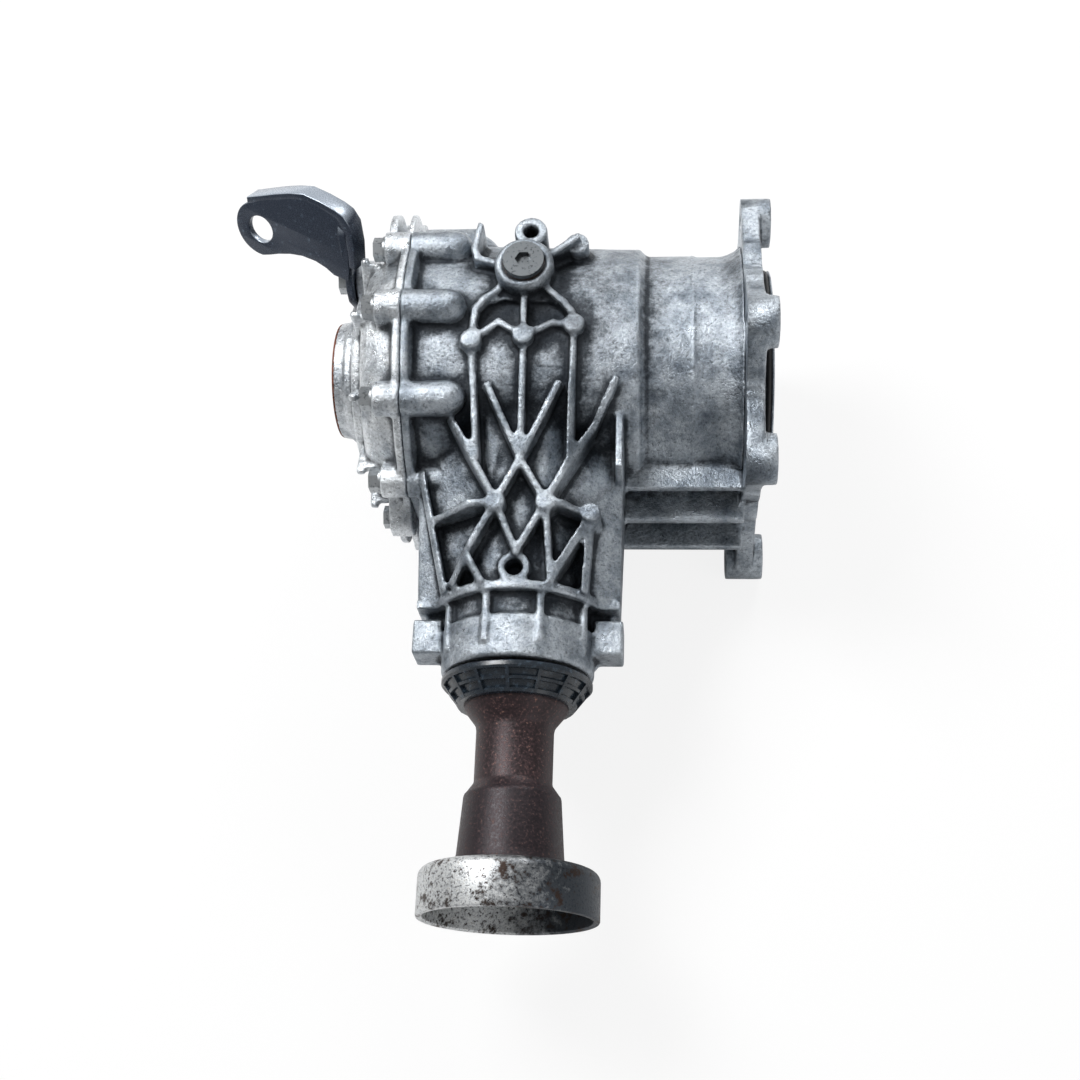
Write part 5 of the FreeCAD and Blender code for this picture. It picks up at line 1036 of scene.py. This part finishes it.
@dataclass
class Bracket:
    """The pressed steel bracket: an arm with its eye, a turned-over edge, and the leg on the cover's bosses.

    The eye's place is in metres, all else in millimetres. The outlines of arm and fold are measured from the eye,
    the leg's from the input axis as (y, z), and a hole is (across, up, radius).
    """

    eye: tuple[float, float, float] = (-0.319, 0.085, 0.050)
    turn_degrees: float = -26.6
    lean_degrees: float = 63.0
    sheet: float = 4.5
    lobe_radius: float = 18.5
    lobe_degrees: tuple[int, int, int] = (118, 285, 8)
    hole_radius: float = 9.0
    edge_radius: float = 0.7
    fold_depth: float = 13.0
    leg_left: float = -265.5
    ring_steps: int = 40
    weld: float = 0.002
    arm: tuple[tuple[float, float], ...] = (
        (8.0, -15.8), (14.0, -12.6), (23.0, -8.8), (32.0, -6.4), (42.0, -6.0), (50.0, -7.6), (56.0, -10.2),
        (67.0, -10.2), (66.6, 0.0), (65.4, 9.0), (62.4, 20.0), (59.4, 27.0), (55.0, 31.5), (42.0, 34.2),
        (30.4, 34.6), (20.0, 31.0), (10.7, 26.5), (0.0, 21.8))
    fold: tuple[tuple[float, float], ...] = (
        (-10.6, 14.4), (-11.4, 18.6), (0.0, 24.6), (10.0, 29.8), (20.0, 34.4), (30.0, 37.8), (42.0, 37.4),
        (53.0, 36.0), (59.5, 34.0), (65.0, 28.5), (69.0, 15.0), (71.0, 0.0), (66.6, 0.0), (64.8, 10.0),
        (61.4, 20.5), (58.6, 26.0), (54.0, 30.4), (42.0, 32.8), (30.4, 33.4), (21.0, 30.0), (11.5, 25.6),
        (0.0, 20.4))
    leg: tuple[tuple[float, float], ...] = (
        (43.0, 26.0), (49.0, 9.0), (49.0, -32.0), (54.0, -37.5), (62.0, -39.0), (70.0, -37.5), (75.0, -32.0),
        (75.0, 22.0), (76.5, 40.0), (77.0, 52.0), (73.0, 73.0), (68.0, 76.0), (62.0, 72.0), (53.0, 49.0),
        (45.0, 35.0))
    leg_holes: tuple[tuple[float, float, float], ...] = ((60.0, 22.0, 4.4), (62.0, -24.0, 4.4))

    def plate(self, outline: Sequence[tuple[float, float]], holes: Sequence[tuple[float, float, float]],
              start: float, thickness: float, where: Matrix) -> bmesh.types.BMesh:
        """A plate with rounded edges.

        Args:
            outline: corners in the plate's own plane, in millimetres.
            holes: (across, up, radius) of each round hole.
            start: height of its underside.
            thickness: its thickness.
            where: the placement of its plane.

        Returns:
            Its bmesh, in place.
        """
        curve = bpy.data.curves.new("plate", "CURVE")
        curve.dimensions = "2D"
        curve.fill_mode = "BOTH"
        curve.extrude = (thickness / 2 - self.edge_radius) * MM
        curve.bevel_depth = self.edge_radius * MM
        curve.bevel_resolution = 2
        curve.offset = -self.edge_radius * MM
        rings = [list(outline)]
        for across, up, radius in holes:
            turns = [math.tau * step / self.ring_steps for step in range(self.ring_steps)]
            rings.append([(across + radius * math.cos(turn), up + radius * math.sin(turn)) for turn in turns])
        for ring in rings:
            spline = curve.splines.new("POLY")
            spline.points.add(len(ring) - 1)
            for point, (across, up) in zip(spline.points, ring):
                point.co = (across * MM, up * MM, 0, 1)
            spline.use_cyclic_u = True
        holder = bpy.data.objects.new("plate", curve)
        bpy.context.scene.collection.objects.link(holder)
        flat = worked_in(holder)
        bpy.data.objects.remove(holder)
        soft = bmesh.new()
        soft.from_mesh(flat)
        bmesh.ops.remove_doubles(soft, verts=soft.verts, dist=self.weld * MM)
        lift = Matrix.Translation((0, 0, (start + thickness / 2) * MM))
        bmesh.ops.transform(soft, verts=soft.verts, matrix=where @ lift)
        return soft

    def build(self) -> bpy.types.Object:
        """Make the bracket in place of its CAD node.

        Returns:
            The new piece.
        """
        lie = (Matrix.Translation(self.eye) @ Matrix.Rotation(math.radians(self.turn_degrees), 4, "Z")
               @ Matrix.Rotation(math.radians(self.lean_degrees), 4, "X"))
        turns = [math.radians(angle) for angle in range(*self.lobe_degrees)]
        lobe = [(self.lobe_radius * math.cos(turn), self.lobe_radius * math.sin(turn)) for turn in turns]
        upright = Matrix.Translation((self.leg_left * MM, 0, 0)) @ Matrix(
            ((0, 0, 1, 0), (1, 0, 0, 0), (0, 1, 0, 0), (0, 0, 0, 1)))
        pieces = [
            self.plate([*lobe, *self.arm], [(0, 0, self.hole_radius)], 0.0, self.sheet, lie),
            self.plate(self.fold, [], self.sheet - self.fold_depth, self.fold_depth, lie),
            self.plate(self.leg, self.leg_holes, 0.0, self.sheet, upright),
        ]
        whole = bmesh.new()
        for piece in pieces:
            part = bpy.data.meshes.new("bracket_part")
            piece.to_mesh(part)
            piece.free()
            whole.from_mesh(part)
            bpy.data.meshes.remove(part)
        bmesh.ops.recalc_face_normals(whole, faces=whole.faces)
        # Upward faces get a painted sky reflection in a pale blue-grey.
        finish = PlainMetal("satin_black_paint", "2b3340", "4c5866", 0.25, 3.0, 0.40, 0.25, sky_sheen="a4adb8")
        return new_piece("support_bracket_pressing", finished(whole, "bracket", 40.0), "casing",
                         finish.make(), ["support_bracket"])


@dataclass(frozen=True)
class Lamp:
    """A soft square lamp that looks at the middle of the object: its side in metres and its power in watts."""

    name: str
    side: float
    power: float
    place: tuple[float, float, float]
    aim: tuple[float, float, float] = (-0.14, -0.10, 0.0)

    def hang(self) -> None:
        """Make the lamp and turn it to its aim."""
        light = bpy.data.lights.new(self.name, "AREA")
        light.size = self.side
        light.energy = self.power
        holder = bpy.data.objects.new(self.name, light)
        holder.location = self.place
        ahead = Vector(self.aim) - Vector(self.place)
        holder.rotation_euler = ahead.to_track_quat("-Z", "Y").to_euler()
        bpy.context.scene.collection.objects.link(holder)


@dataclass(frozen=True)
class Studio:
    """A white floor and sky, a large soft lamp on the left, two lesser ones, and the photograph's camera."""

    camera_place: tuple[float, float, float] = (-0.06655, -0.47057, 0.84093)
    camera_angles: tuple[float, float, float] = (23.2331, 4.1491, 1.9270)
    lens_mm: float = 50.279
    sensor_mm: float = 36.0
    nearest: float = 0.01
    lamps: tuple[Lamp, ...] = (
        Lamp("key", 0.6, 21.0, (-0.8, 0.35, 1.2)),
        Lamp("fill", 1.0, 5.0, (0.9, -0.9, 0.8)),
        Lamp("back", 0.5, 9.0, (0.3, 1.1, 0.8)),
    )
    floor_colour: str = "e9e9e9"
    floor_roughness: float = 0.9
    floor_size: float = 6.0
    floor_gap: float = 0.0005
    floor_glow: float = 0.85
    sky_light: float = 0.36

    def build(self) -> None:
        """Make the floor, the world, the lamps and the camera."""
        self.floor()
        self.world()
        for lamp in self.lamps:
            lamp.hang()
        camera = bpy.data.cameras.new("camera")
        camera.lens = self.lens_mm
        camera.sensor_width = self.sensor_mm
        camera.sensor_fit = "AUTO"
        camera.clip_start = self.nearest
        holder = bpy.data.objects.new("camera", camera)
        holder.location = self.camera_place
        holder.rotation_euler = [math.radians(angle) for angle in self.camera_angles]
        bpy.context.scene.collection.objects.link(holder)
        bpy.context.scene.camera = holder
        bpy.context.scene.view_settings.view_transform = "Standard"

    def floor(self) -> None:
        """Lay a large white floor that keeps the object's shadow."""
        ground = bmesh.new()
        bmesh.ops.create_grid(ground, x_segments=1, y_segments=1, size=self.floor_size)
        bmesh.ops.translate(ground, verts=ground.verts, vec=(0, 0, FLOOR_LEVEL - self.floor_gap))
        mesh = bpy.data.meshes.new("floor")
        ground.to_mesh(mesh)
        ground.free()
        floor = bpy.data.objects.new("floor", mesh)
        bpy.context.scene.collection.objects.link(floor)
        material, tree, shader = blank_material("white_floor")
        shader.inputs["Base Color"].default_value = linear(self.floor_colour)
        shader.inputs["Roughness"].default_value = self.floor_roughness
        glow = add_node(tree, "ShaderNodeEmission", {"Color": (1, 1, 1, 1), "Strength": 1.0})
        seen = add_node(tree, "ShaderNodeLightPath")
        share = add_node(tree, "ShaderNodeMath", {"operation": "MULTIPLY", 1: self.floor_glow},
                         {0: (seen, "Is Camera Ray")})
        mixed = add_node(tree, "ShaderNodeMixShader", None, {0: (share, "Value")})
        tree.links.new(shader.outputs["BSDF"], mixed.inputs[1])
        tree.links.new(glow.outputs["Emission"], mixed.inputs[2])
        tree.links.new(mixed.outputs["Shader"], tree.nodes["Material Output"].inputs["Surface"])
        mesh.materials.append(material)

    def world(self) -> None:
        """Light the room evenly, and show a white sky to the camera."""
        world = bpy.data.worlds.new("studio")
        bpy.context.scene.world = world
        world.use_nodes = True
        tree = world.node_tree
        tree.nodes["Background"].inputs["Color"].default_value = (1, 1, 1, 1)
        seen = add_node(tree, "ShaderNodeLightPath")
        power = add_node(tree, "ShaderNodeMapRange", {"To Min": self.sky_light, "To Max": 1.0},
                         {"Value": (seen, "Is Camera Ray")})
        tree.links.new(power.outputs["Result"], tree.nodes["Background"].inputs["Strength"])


def main() -> None:
    """Build every piece in order."""
    logging.basicConfig(level=logging.INFO, format="%(message)s")
    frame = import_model()
    Studio().build()
    dress_nodes(frame)
    CastSkin("main_housing", "cast_case", CASE_FINISH, HOUSING_STOPPERS, CaseForm().press).build(frame)
    CastSkin("side_cover", "cast_cover", COVER_FINISH, COVER_STOPPERS).build(frame)
    SealRim().build()
    OutputFlange().build()
    DustShield().build()
    Bracket().build()


if __name__ == "__main__":
    main()
